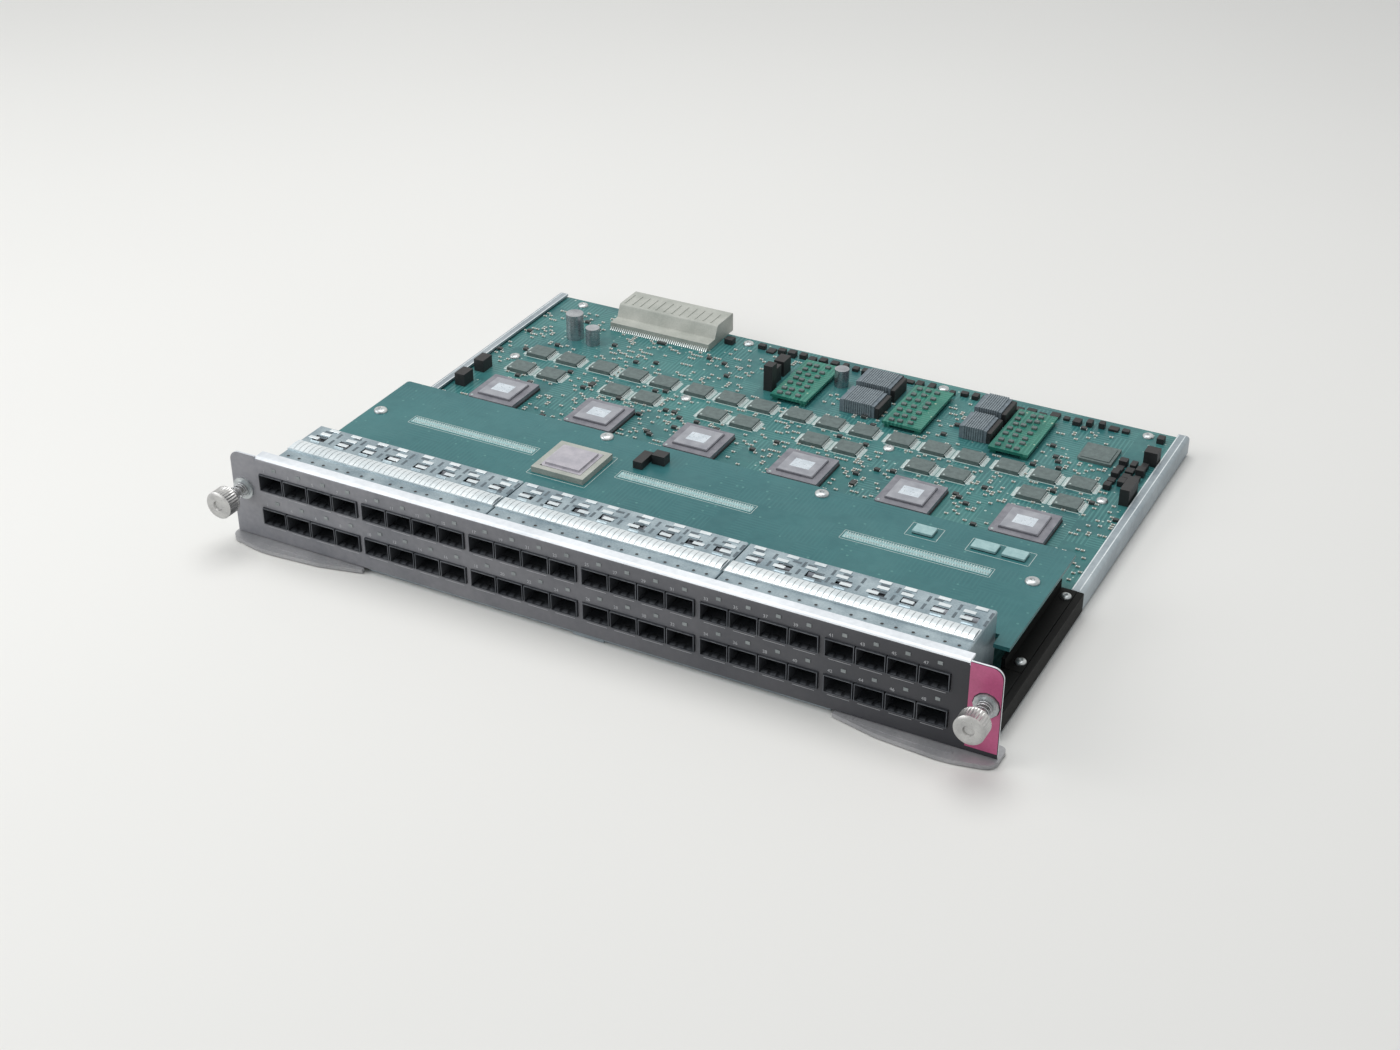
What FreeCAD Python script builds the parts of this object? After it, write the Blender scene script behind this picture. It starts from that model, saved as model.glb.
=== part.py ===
import FreeCAD, Part
import math
import os
import re
import Sketcher

# Switch line card: a folded sheet-metal carrier tray with a front panel, a main board, a raised
# second board, three banks of stacked port cages, two ejector levers and two captive screws.
# Millimetres. X runs along the front panel, Y from the panel to the backplane, Z up.
# The origin lies on the tray's underside, on the centre line, at the inner face of its front lip.

doc = FreeCAD.newDocument("line_card")

SIZES = {
    # sheet metal
    "sheet": 1.2, "tray_half": 190.0, "tray_back": 289.6, "tray_wall_top": 11.0,
    "rail_flange": 6.0, "rail_front": 122.0, "notch_back": 14.0, "lip_half": 120.0, "lip_top": 8.8,
    "land_half": 8.0,
    "panel_half": 196.0, "panel_low": 2.6, "panel_top": 47.0, "panel_corner": 5.0,
    "flange_half": 181.0, "flange_back": 4.0, "bend": 2.0, "tab_inner": 172.0, "tab_back": 9.0,
    # ports: six groups of four columns and two rows, in three banks of two groups
    "port_pitch": 14.25, "port_width": 13.85, "group_pitch": 59.2, "group_width": 57.0,
    "port_height": 9.0, "row_low": 11.0, "row_high": 29.5,
    "ports_mid": -2.9, "cage_wall": 0.4, "cage_back": 47.3, "cage_top": 40.2, "cage_proud": 0.5,
    "cage_gap": 0.6, "pipe_wide": 2.2, "pipe_tall": 1.6, "pipe_shift": 2.0,
    "pipe_low": 23.4, "pipe_high": 41.4, "pipe_end": 0.3,
    "strip_front": 20.6, "strip_deep": 9.4, "strip_tall": 0.7,
    # boards
    "board_half": 187.0, "board_back": 289.6, "board_top": 9.0, "board_thick": 2.4,
    "deck_half": 183.5, "deck_front": 48.4, "deck_back": 126.6, "deck_top": 28.0,
    "deck_thick": 2.0, "deck_arm": 7.5, "deck_arm_front": 40.6,
    # ejector levers
    "lever_thick": 2.0, "lever_low": 0.3, "pivot_out": 188.0, "pivot_back": 3.0,
    "pivot_shank": 2.0, "pivot_head": 3.3, "pivot_play": 0.05,
    # captive screws
    "screw_out": 189.5, "screw_level": 28.0, "shank": 2.0, "tip": 1.75, "ferrule": 5.8,
}

sheet = doc.addObject("Spreadsheet::Sheet", "Card")
for row, (alias, value) in enumerate(SIZES.items(), start=1):
    sheet.set("A%d" % row, alias)
    sheet.set("B%d" % row, str(value))
    sheet.setAlias("B%d" % row, alias)
doc.recompute()

NODES = []


class Sizes:
    """Reads a driving dimension from the sheet by its alias."""

    def __getattr__(self, alias):
        return float(sheet.get(alias))


s = Sizes()
V = FreeCAD.Vector
BANKS = (-1, 0, 1)
PHY_Y = 166.6


def card(expression):
    """Turns words that are aliases into references to the sheet."""
    return re.sub("[a-z_]+", lambda word: "Card." + word.group()
                  if word.group() in SIZES else word.group(), expression)


def node(item, label):
    item.Label = label
    NODES.append(item)
    return item


def new_body(label):
    body = doc.addObject("PartDesign::Body", label)
    body.AllowCompound = True
    return node(body, label)


def sketch_on(body, role, level="0"):
    """A sketch on one of the body's own origin planes, raised along the plane's normal."""
    plane = [item for item in body.Origin.OriginFeatures if item.Role == role][0]
    sketch = body.newObject("Sketcher::SketchObject", "sketch")
    sketch.AttachmentSupport = [(plane, "")]
    sketch.MapMode = "FlatFace"
    sketch.setExpression("AttachmentOffset.Base.z", card(level))
    return sketch


def rectangle(sketch, left, low, width, height):
    """A rectangle whose corner and sides follow expressions on the sheet."""
    first = sketch.GeometryCount
    start = sketch.ConstraintCount
    x0, y0, w, h = 1.0 + first, 1.0, 2.0, 1.0
    corners = [V(x0, y0, 0), V(x0 + w, y0, 0), V(x0 + w, y0 + h, 0), V(x0, y0 + h, 0)]
    for index in range(4):
        sketch.addGeometry(Part.LineSegment(corners[index], corners[(index + 1) % 4]), False)
    for index in range(4):
        sketch.addConstraint(Sketcher.Constraint("Coincident", first + index, 2,
                                                 first + (index + 1) % 4, 1))
        way = "Horizontal" if index % 2 == 0 else "Vertical"
        sketch.addConstraint(Sketcher.Constraint(way, first + index))
    sketch.addConstraint(Sketcher.Constraint("DistanceX", first, 1, first, 2, w))
    sketch.addConstraint(Sketcher.Constraint("DistanceY", first + 1, 1, first + 1, 2, h))
    sketch.addConstraint(Sketcher.Constraint("DistanceX", -1, 1, first, 1, x0))
    sketch.addConstraint(Sketcher.Constraint("DistanceY", -1, 1, first, 1, y0))
    for offset, expression in enumerate((width, height, left, low)):
        sketch.setExpression("Constraints[%d]" % (start + 8 + offset), card(expression))


def circle(sketch, x, y, radius):
    index = sketch.addGeometry(Part.Circle(V(1, 1, 0), V(0, 0, 1), 1.0), False)
    start = sketch.ConstraintCount
    sketch.addConstraint(Sketcher.Constraint("Radius", index, 1.0))
    sketch.addConstraint(Sketcher.Constraint("DistanceX", -1, 1, index, 3, 1.0))
    sketch.addConstraint(Sketcher.Constraint("DistanceY", -1, 1, index, 3, 1.0))
    for offset, expression in enumerate((radius, x, y)):
        sketch.setExpression("Constraints[%d]" % (start + offset), card(expression))


def outline(sketch, points):
    """A closed outline. A point may carry a corner radius, which becomes a tangent arc."""
    count = len(points)
    ends = []
    for index, point in enumerate(points):
        here = V(point[0], point[1], 0)
        radius = point[2] if len(point) > 2 else 0.0
        if not radius:
            ends.append((here, here, None))
            continue
        before = V(*points[index - 1][:2], 0) - here
        after = V(*points[(index + 1) % count][:2], 0) - here
        before.normalize()
        after.normalize()
        half = before.getAngle(after) / 2
        reach = radius / math.tan(half)
        bisector = (before + after).normalize()
        centre = here + bisector * (radius / math.sin(half))
        middle = centre - bisector * radius
        ends.append((here + before * reach, here + after * reach, middle))
    for index, (start, end, middle) in enumerate(ends):
        if middle is not None:
            sketch.addGeometry(Part.Arc(start, middle, end), False)
        following = ends[(index + 1) % count][0]
        if end.distanceToPoint(following) > 1e-6:
            sketch.addGeometry(Part.LineSegment(end, following), False)


def ring_of(count, radius, x=0.0, y=0.0):
    """Corners of a regular polygon."""
    steps = [2 * math.pi * index / count for index in range(count)]
    return [(x + radius * math.cos(a), y + radius * math.sin(a)) for a in steps]


def pad(body, sketch, length, backwards=False, middle=False):
    feature = body.newObject("PartDesign::Pad", "pad")
    feature.Profile = sketch
    feature.setExpression("Length", card(length))
    feature.Reversed = backwards
    feature.Midplane = middle
    return feature


def cut_through(body, sketch):
    """Cuts the sketch right through the body, both ways."""
    feature = body.newObject("PartDesign::Pocket", "pocket")
    feature.Profile = sketch
    feature.Type = 1
    feature.Midplane = True
    return feature


def cut_deep(body, sketch, depth, backwards=False):
    feature = body.newObject("PartDesign::Pocket", "pocket")
    feature.Profile = sketch
    feature.setExpression("Length", card(depth))
    feature.Reversed = backwards
    return feature


def pattern(body, feature, sketch, axis, pitch, count):
    """Repeats a feature at a fixed pitch along one axis of its sketch."""
    feature.Visibility = False
    row = body.newObject("PartDesign::LinearPattern", "pattern")
    row.Originals = [feature]
    row.Direction = (sketch, [axis])
    row.Occurrences = count
    row.setExpression("Length", card("%s * %d" % (pitch, count - 1)))
    body.Tip = row
    return row


def block(length, width, height, at):
    """A rectangular piece, its sizes and its low corner given as expressions."""
    piece = doc.addObject("Part::Box", "block")
    for size, expression in zip(("Length", "Width", "Height"), (length, width, height)):
        piece.setExpression(size, card(str(expression)))
    for axis, expression in zip("xyz", at):
        piece.setExpression("Placement.Base." + axis, card(str(expression)))
    return piece


def rod(radius, height, at):
    """An upright round piece standing on its base point."""
    piece = doc.addObject("Part::Cylinder", "rod")
    piece.setExpression("Radius", card(str(radius)))
    piece.setExpression("Height", card(str(height)))
    for axis, expression in zip("xyz", at):
        piece.setExpression("Placement.Base." + axis, card(str(expression)))
    return piece


def prism(sides, radius, height, at):
    """An upright piece of regular section: six sides for a spacer, more for a screw head."""
    piece = doc.addObject("Part::Prism", "prism")
    piece.Polygon = sides
    piece.setExpression("Circumradius", card(str(radius)))
    piece.setExpression("Height", card(str(height)))
    for axis, expression in zip("xyz", at):
        piece.setExpression("Placement.Base." + axis, card(str(expression)))
    return piece


def joined(pieces):
    whole = doc.addObject("Part::MultiFuse", "joined")
    whole.Shapes = pieces
    return whole


def group(label, pieces):
    """Several like pieces kept as separate solids under one name."""
    whole = doc.addObject("Part::Compound", label)
    whole.Links = pieces
    return node(whole, label)


def turned(label, profile, x, z):
    """A turned piece on an axis along Y: the profile gives distance along Y, then radius."""
    body = new_body(label)
    sketch = sketch_on(body, "YZ_Plane")
    outline(sketch, profile)
    turn = body.newObject("PartDesign::Revolution", "turn")
    turn.Profile = sketch
    turn.ReferenceAxis = (sketch, ["H_Axis"])
    turn.Angle = 360.0
    body.setExpression("Placement.Base.x", card(x))
    body.setExpression("Placement.Base.z", card(z))
    return body


def group_centre(index):
    """X of one of the six port groups, as an expression."""
    return "ports_mid + group_pitch * %.1f" % (index - 2.5)


# ---------------------------------------------------------------- front panel

def make_faceplate():
    """Flat panel with a top flange folded back, two low tabs for the ejector pivots,
    twelve port windows and a window for every light pipe."""
    body = new_body("faceplate")
    face = sketch_on(body, "XZ_Plane", "sheet")
    half, low, top, corner = s.panel_half, s.panel_low, s.panel_top, s.panel_corner
    step = s.flange_half + 0.4
    fold = top - s.bend
    outline(face, [(-half, low), (half, low), (half, top, corner), (step, top),
                   (step, fold), (-step, fold), (-step, top), (-half, top, corner)])
    pad(body, face, "sheet")

    front, back, inner = -2 * s.sheet, s.flange_back, s.bend - s.sheet
    bend = sketch_on(body, "YZ_Plane")
    outline(bend, [(front, fold), (front, top, s.bend), (back, top), (back, top - s.sheet),
                   (front + s.sheet, top - s.sheet, inner), (front + s.sheet, fold)])
    pad(body, bend, "flange_half * 2", middle=True)

    tabs = sketch_on(body, "XY_Plane", "panel_low")
    for side in ("-panel_half + 3", "tab_inner"):
        rectangle(tabs, side, "-sheet", "panel_half - 3 - tab_inner", "tab_back + sheet")
    pad(body, tabs, "sheet")

    pivots = sketch_on(body, "XY_Plane", "panel_low + sheet")
    for sign in ("-", ""):
        circle(pivots, sign + "pivot_out", "pivot_back", "pivot_shank")
    cut_deep(body, pivots, "sheet")

    windows = sketch_on(body, "XZ_Plane")
    lights = sketch_on(body, "XZ_Plane")
    first = group_centre(0)
    for row in ("row_low", "row_high"):
        rectangle(windows, first + " - group_width / 2", row, "group_width", "port_height")
    ports = cut_through(body, windows)
    pattern(body, ports, windows, "H_Axis", "group_pitch", 6)
    for column in range(4):
        shift = " + port_pitch * %.1f + pipe_shift - pipe_wide / 2" % (column - 1.5)
        for level in ("pipe_low", "pipe_high"):
            rectangle(lights, first + shift, level, "pipe_wide", "pipe_tall")
    ends = cut_through(body, lights)
    pattern(body, ends, lights, "H_Axis", "group_pitch", 6)

    holes = sketch_on(body, "XZ_Plane")
    for sign in ("-", ""):
        outline(holes, ring_of(12, s.shank + 0.7, float(sign + "1") * s.screw_out, s.screw_level))
    cut_through(body, holes)


def make_end_label():
    """Coloured overlay on the right-hand end of the panel, with a hole for the ferrule."""
    body = new_body("end_label")
    sketch = sketch_on(body, "XZ_Plane", "sheet * 2")
    half, top, low = s.panel_half - 0.2, s.panel_top - 0.2, 5.0
    outline(sketch, [(181.5, low), (half, low), (half, top, s.panel_corner), (181.5, top)])
    outline(sketch, ring_of(12, s.ferrule + 0.4, s.screw_out, s.screw_level))
    pad(body, sketch, "0.3")


# ---------------------------------------------------------------- carrier tray

def make_carrier_tray():
    """Folded steel tray: floor, front lip behind the panel, two side walls whose tops fold
    inwards over the board's edges as card-guide rails. At the middle of the lip the bend is
    pressed square, so that the underside is flat right up to the lip."""
    body = new_body("carrier_tray")
    half, wall, back = s.tray_half, s.sheet, s.tray_back
    radius = 1.8

    floor = sketch_on(body, "XY_Plane")
    inner = half - radius
    notch, land = s.lip_half, s.land_half
    outline(floor, [(-notch, radius - wall), (-land, radius - wall), (-land, -wall),
                    (land, -wall), (land, radius - wall), (notch, radius - wall),
                    (notch, s.notch_back), (inner, s.notch_back), (inner, back), (-inner, back),
                    (-inner, s.notch_back), (-notch, s.notch_back)])
    pad(body, floor, "sheet")

    lip = sketch_on(body, "YZ_Plane")
    outline(lip, [(radius - wall, 0), (-wall, 0, radius), (-wall, s.lip_top), (0, s.lip_top),
                  (0, wall, radius - wall), (radius - wall, wall)])
    pad(body, lip, "lip_half * 2", middle=True)

    walls = sketch_on(body, "XZ_Plane", "-notch_back")
    rails = sketch_on(body, "XZ_Plane", "-rail_front")
    top = s.tray_wall_top
    for sign in (-1, 1):
        outline(walls, [(sign * inner, 0), (sign * half, 0, radius), (sign * half, top - radius),
                        (sign * (half - wall), top - radius),
                        (sign * (half - wall), wall, radius - wall), (sign * inner, wall)])
        outline(rails, [(sign * half, top - radius), (sign * half, top, radius),
                        (sign * (half - s.rail_flange), top),
                        (sign * (half - s.rail_flange), top - wall),
                        (sign * (half - wall), top - wall, radius - wall),
                        (sign * (half - wall), top - radius)])
    pad(body, walls, "tray_back - notch_back", backwards=True)
    pad(body, rails, "tray_back - rail_front", backwards=True)


# ---------------------------------------------------------------- boards

def make_main_board():
    body = new_body("main_board")
    sketch = sketch_on(body, "XY_Plane", "board_top - board_thick")
    half, back = s.board_half, s.board_back
    outline(sketch, [(-half, 10.0), (-half + 8, 10.0), (-half + 8, 1.0), (half - 8, 1.0),
                     (half - 8, 10.0), (half, 10.0), (half, back, 1.5), (-half, back, 1.5)])
    pad(body, sketch, "board_thick")


def make_mezzanine_board():
    """Raised second board. A narrow arm runs forwards beside the port cages."""
    body = new_body("mezzanine_board")
    sketch = sketch_on(body, "XY_Plane", "deck_top - deck_thick")
    half, front, back = s.deck_half, s.deck_front, s.deck_back
    outline(sketch, [(-half, front), (half - s.deck_arm, front), (half - s.deck_arm, s.deck_arm_front),
                     (half, s.deck_arm_front), (half, back, 1.5), (-half, back, 1.5)])
    pad(body, sketch, "deck_thick")


DECK_SCREWS = ((-176.8, 92.1), (-60.4, 121.6), (58.4, 120.6), (174.0, 94.1))
TRAY_SCREWS = tuple((x, y) for y in (136.0, 208.4, 283.0) for x in (-170.0, -62.0, 56.0, 170.0))


HEAD_SIDES = 6


def make_spacers():
    group("mezzanine_standoffs",
          [prism(6, 3.0, "deck_top - deck_thick - board_top", (x, y, "board_top"))
           for x, y in DECK_SCREWS])
    group("mezzanine_screws", [prism(HEAD_SIDES, 3.5, 1.8, (x, y, "deck_top"))
                               for x, y in DECK_SCREWS])
    group("tray_standoffs", [prism(6, 3.4, "board_top - board_thick - sheet", (x, y, "sheet"))
                             for x, y in TRAY_SCREWS])
    group("board_screws", [prism(HEAD_SIDES, 3.0, 1.6, (x, y, "board_top"))
                           for x, y in TRAY_SCREWS])


# ---------------------------------------------------------------- port cages

def bank_shift(bank):
    return "ports_mid + group_pitch * %d" % (2 * bank)


def make_port_cage(bank):
    """Stamped shell of one bank: top, two sides and back, open to the front and below."""
    body = new_body("port_cage_%d" % (bank + 2))
    shell = sketch_on(body, "XZ_Plane", "sheet")
    half = s.group_pitch - s.cage_gap / 2
    low, top, wall = s.board_top, s.cage_top, s.cage_proud
    outline(shell, [(-half, low), (-half + wall, low), (-half + wall, top - wall),
                    (half - wall, top - wall), (half - wall, low), (half, low),
                    (half, top, 0.9), (-half, top, 0.9)])
    pad(body, shell, "cage_back + sheet", backwards=True)
    back = sketch_on(body, "XZ_Plane", "-cage_back")
    rectangle(back, "-group_pitch + cage_gap / 2 + cage_proud", "board_top",
              "group_pitch * 2 - cage_gap - cage_proud * 2", "cage_top - cage_proud - board_top")
    pad(body, back, "cage_proud")
    slots = sketch_on(body, "XY_Plane", "cage_top")
    rectangle(slots, "-group_pitch / 2 - port_pitch * 1.5 - 3.5", "34", "7", "5")
    rectangle(slots, "group_pitch / 2 - port_pitch * 1.5 - 3.5", "34", "7", "5")
    cut = cut_deep(body, slots, "cage_proud")
    pattern(body, cut, slots, "H_Axis", "port_pitch", 4)
    body.setExpression("Placement.Base.x", card(bank_shift(bank)))


def bank_ports():
    """X of a bank's eight port columns from the bank's middle, as expressions."""
    return ["group_pitch * %.1f + port_pitch * %.1f" % (half, column - 1.5)
            for half in (-0.5, 0.5) for column in range(4)]


def make_cage_partitions(bank):
    """Upright walls between the columns, and one between the bank's two groups."""
    body = new_body("cage_partitions_%d" % (bank + 2))
    walls = sketch_on(body, "XZ_Plane", "sheet")
    places = ["group_pitch * %.1f + port_pitch * %d - cage_wall / 2" % (half, column)
              for half in (-0.5, 0.5) for column in (-1, 0, 1)]
    for place in places + ["-cage_wall / 2"]:
        rectangle(walls, place, "board_top", "cage_wall", "cage_top - cage_proud - board_top")
    pad(body, walls, "cage_back + sheet - cage_proud", backwards=True)
    body.setExpression("Placement.Base.x", card(bank_shift(bank)))


def make_cage_separators(bank):
    """Folded channels between the upper and the lower ports, open to the front."""
    body = new_body("cage_separators_%d" % (bank + 2))
    plates = sketch_on(body, "XZ_Plane", "sheet - 0.1")
    webs = sketch_on(body, "XZ_Plane", "-39")
    under = "row_low + port_height"
    for port in bank_ports():
        left = port + " - port_width / 2 + 0.1"
        for level in (under, "row_high - cage_wall"):
            rectangle(plates, left, level, "port_width - 0.2", "cage_wall")
        rectangle(webs, left, under, "port_width - 0.2", "row_high - row_low - port_height")
    pad(body, plates, "39 + sheet - 0.1 + cage_wall", backwards=True)
    pad(body, webs, "cage_wall", backwards=True)
    body.setExpression("Placement.Base.x", card(bank_shift(bank)))


def make_port_connectors(bank):
    """One stacked connector per column, at the back of its two ports."""
    body = new_body("port_connectors_%d" % (bank + 2))
    blocks = sketch_on(body, "XZ_Plane", "-40")
    for port in bank_ports():
        rectangle(blocks, port + " - 6.4", "board_top", "12.8", "28")
    pad(body, blocks, "6", backwards=True)
    body.setExpression("Placement.Base.x", card(bank_shift(bank)))


def make_cage_trim():
    """Bright strips across the banks, and the light pipes above and between the ports."""
    strips, combs, bars = [], [], []
    for bank in BANKS:
        left = bank_shift(bank) + " - group_pitch + cage_gap"
        strips.append(block("( group_pitch - cage_gap ) * 2", "strip_deep", "strip_tall",
                            (left, "strip_front", "cage_top")))
        teeth = [block("group_pitch * 2 - 14", 3, "pipe_high + pipe_tall - cage_top",
                       (left + " + 7", 5, "cage_top"))]
        for port in bank_ports():
            corner = bank_shift(bank) + " + " + port + " + pipe_shift - pipe_wide / 2"
            tip = "- sheet * 2 - pipe_end"
            teeth.append(block("pipe_wide", "sheet * 2 + pipe_end + 5.5", "pipe_tall",
                               (corner, tip, "pipe_high")))
            bars.append(block("pipe_wide", "sheet * 2 + pipe_end + 12", "pipe_tall",
                              (corner, tip, "pipe_low")))
        combs.append(joined(teeth))
    group("shield_strips", strips)
    group("light_pipes_upper", combs)
    group("light_pipes_lower", bars)


# ---------------------------------------------------------------- ejector levers

def make_ejector(label, side):
    """Crescent lever under the panel's edge, with a claw behind its outer end."""
    body = new_body(label)
    sketch = sketch_on(body, "XY_Plane", "lever_low")
    x, y = s.pivot_out, s.pivot_back
    points = [(x - 66, -4.4), (x - 44, -9.4, 30), (x - 12, -11.8, 50), (x + 9, -7.4, 6),
              (x + 9, y + 4.6, 3), (x - 5.0, y + 4.6, 3), (x - 8.0, -0.6), (x - 66, -2.4)]
    ordered = [(side * p[0],) + p[1:] for p in points]
    outline(sketch, ordered if side > 0 else ordered[::-1])
    pad(body, sketch, "lever_thick")
    place = ("-" if side < 0 else "") + "pivot_out"
    bore = sketch_on(body, "XY_Plane", "lever_low + lever_thick")
    circle(bore, place, "pivot_back", "pivot_shank + pivot_play")
    cut_deep(body, bore, "lever_thick")
    seat = sketch_on(body, "XY_Plane", "lever_low")
    outline(seat, ring_of(8, s.pivot_head + 0.4, side * x, y))
    cut_deep(body, seat, "0.7", backwards=True)


def make_ejector_pivots():
    """Shoulder rivets: a lower head sunk in the lever, and a shank through lever and tab."""
    pins = []
    for sign in ("-", ""):
        x, y = sign + "pivot_out", "pivot_back"
        shank = rod("pivot_shank", "panel_low + sheet - lever_low", (x, y, "lever_low"))
        pins.append(joined([prism(8, "pivot_head", 0.6, (x, y, "lever_low")), shank]))
    group("ejector_pivots", pins)


# ---------------------------------------------------------------- captive screws

HEAD_FRONT = -22.4
HEAD_BACK = -14.4
TIP = 4.0
RING_FRONT = -1.1
RING_THICK = 0.6
RING_GAP = 0.15
GROOVE = 1.25
FLUTES = 14
FERRULE_FRONT = -4.4


def make_captive_screw(label, x):
    """Thumb screw: a fluted grip head, a plain shank, a groove and a thinner threaded tip."""
    groove = (RING_FRONT - RING_GAP, RING_FRONT + RING_THICK + RING_GAP)
    body = turned(label, [
        (HEAD_BACK, 0), (HEAD_BACK, s.shank), (groove[0], s.shank), (groove[0], GROOVE),
        (groove[1], GROOVE), (groove[1], s.tip), (TIP, s.tip), (TIP, 0)], x, "screw_level")
    ridges = ring_of(FLUTES, 7.0)
    turn = math.pi / FLUTES
    valleys = [(u * math.cos(turn) * 0.9 - v * math.sin(turn) * 0.9,
                u * math.sin(turn) * 0.9 + v * math.cos(turn) * 0.9) for u, v in ridges]
    grip = sketch_on(body, "XZ_Plane", str(-HEAD_BACK))
    outline(grip, [corner for pair in zip(ridges, valleys) for corner in pair])
    pad(body, grip, str(HEAD_BACK - HEAD_FRONT))


def make_screw_hardware():
    """The ferrule on the panel, the spring and the open retaining ring of each screw."""
    for name, x in (("left", "-screw_out"), ("right", "screw_out")):
        make_captive_screw("captive_screw_" + name, x)
        bore, flange = s.shank + 0.1, -3.4
        ferrule = new_body("screw_ferrule_" + name)
        for level, radius, depth in ((2.4, s.ferrule, -2.4 - flange),
                                     (-flange, 4.2, flange - FERRULE_FRONT)):
            section = sketch_on(ferrule, "XZ_Plane", str(level))
            outline(section, ring_of(12, radius))
            circle(section, "0", "0", str(bore))
            pad(ferrule, section, "%.2f" % depth)
        ferrule.setExpression("Placement.Base.x", card(x))
        ferrule.setExpression("Placement.Base.z", card("screw_level"))
        ring = new_body("screw_retainer_" + name)
        section = sketch_on(ring, "XZ_Plane", str(-RING_FRONT))
        outer, inner = ring_of(12, 3.8), ring_of(12, GROOVE + 0.13)
        outline(section, outer[4:] + outer[:3] + inner[:3][::-1] + inner[4:][::-1])
        pad(ring, section, str(RING_THICK), backwards=True)
        ring.setExpression("Placement.Base.x", card(x))
        ring.setExpression("Placement.Base.z", card("screw_level"))
        make_screw_spring("screw_spring_" + name, x)


def make_screw_spring(label, x):
    """Compression spring wound round the shank, from the head to the ferrule."""
    wire, radius, turns, steps = 0.6, 3.3, 5, 5
    front, back = HEAD_BACK + wire * 0.75, FERRULE_FRONT - wire * 0.75
    path = []
    for step in range(turns * steps + 1):
        angle = 2 * math.pi * step / steps
        rise = (back - front) * step / (turns * steps)
        path.append(V(radius * math.cos(angle), radius * math.sin(angle), rise))
    along = (path[1] - path[0]).normalize()
    across = V(1, 0, 0)
    upward = along.cross(across).normalize()
    across = upward.cross(along).normalize()
    corners = [path[0] + (across * a + upward * b) * (wire / 2)
               for a, b in ((-1, -1), (1, -1), (1, 1), (-1, 1), (-1, -1))]
    spring = doc.addObject("Part::Feature", label)
    wound = Part.makePolygon(path).makePipeShell([Part.makePolygon(corners)], True, False, 1)
    spring.Shape = wound
    sign = -1 if x.startswith("-") else 1
    spring.Placement = FreeCAD.Placement(V(sign * s.screw_out, front, s.screw_level),
                                         FreeCAD.Rotation(V(1, 0, 0), -90))
    node(spring, label)


# ---------------------------------------------------------------- parts on the boards

def package(label, x, y, level, side, tall, lid, lid_tall):
    """Square chip package with cut corners and a raised lid."""
    body = new_body(label)
    base = sketch_on(body, "XY_Plane")
    half, cut = side / 2, 1.2
    outline(base, [(-half + cut, -half), (half, -half), (half, half), (-half, half),
                   (-half, -half + cut)])
    pad(body, base, str(tall))
    cover = sketch_on(body, "XY_Plane", str(tall))
    outline(cover, [(-lid / 2, -lid / 2), (lid / 2, -lid / 2), (lid / 2, lid / 2),
                    (-lid / 2, lid / 2)])
    pad(body, cover, str(lid_tall))
    body.Placement.Base = V(x, y, level)
    return body


def make_chips():
    for index in range(6):
        centre = s.ports_mid + s.group_pitch * (index - 2.5)
        package("phy_chip_%d" % (index + 1), centre, PHY_Y, s.board_top, 28.0, 3.2, 20.0, 1.0)
    package("control_chip", 154.0, 251.6, s.board_top, 18.0, 1.6, 15.0, 0.5)
    package("processor_chip", -61.5, 89.4, s.deck_top, 22.6, 3.2, 19.0, 1.2)

    socket = new_body("processor_socket")
    frame = sketch_on(socket, "XY_Plane")
    outline(frame, [(-14.5, -14.5), (14.5, -14.5), (14.5, 14.5), (-14.5, 14.5)])
    outline(frame, [(-11.4, -11.4), (11.4, -11.4), (11.4, 11.4), (-11.4, 11.4)])
    pad(socket, frame, "3")
    socket.Placement.Base = V(-61.5, 89.4, s.deck_top)

    small = []
    for index in range(6):
        centre = group_centre(index)
        for y, shifts in ((198.0, (-8, 11)), (218.6, (-8, 11, 32))):
            for shift in shifts[:2] if index == 5 else shifts:
                small.append(block(12.6, 11, 2, ("%s + %.1f" % (centre, shift - 6.3), y - 5.5,
                                                 "board_top")))
    group("small_chips", small)


def make_backplane_connector():
    """Right-angle backplane connector: a tall housing with a row of contact cavities
    in its rear face, and a low tail block over its solder pins."""
    body = new_body("backplane_connector")
    side = sketch_on(body, "YZ_Plane")
    level = s.board_top
    outline(side, [(264.6, level), (295.1, level), (295.1, level + 11, 0.8),
                   (276.0, level + 11, 1.5), (272.6, level + 4), (264.6, level + 4)])
    pad(body, side, "63", middle=True)
    cavities = sketch_on(body, "XZ_Plane", "-295.1")
    rectangle(cavities, "-29.4", "board_top + 1.8", "3.2", "7.6")
    cut = cut_deep(body, cavities, "9", backwards=True)
    pattern(body, cut, cavities, "H_Axis", "5.05", 12)
    body.Placement.Base.x = -109.5


def make_stack_connectors():
    """Board-to-board connectors between the two boards: a socket below, a plug above."""
    for index, x in enumerate((-121.0, -0.6, 118.6)):
        body = new_body("stack_connector_%d" % (index + 1))
        side = sketch_on(body, "YZ_Plane")
        low, high = s.board_top, s.deck_top - s.deck_thick
        outline(side, [(-3.5, low), (3.5, low), (3.5, low + 8), (2.8, low + 8), (2.8, high),
                       (-2.8, high), (-2.8, low + 8), (-3.5, low + 8)])
        pad(body, side, "71", middle=True)
        body.Placement.Base = V(x, 92.6, 0)


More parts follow.
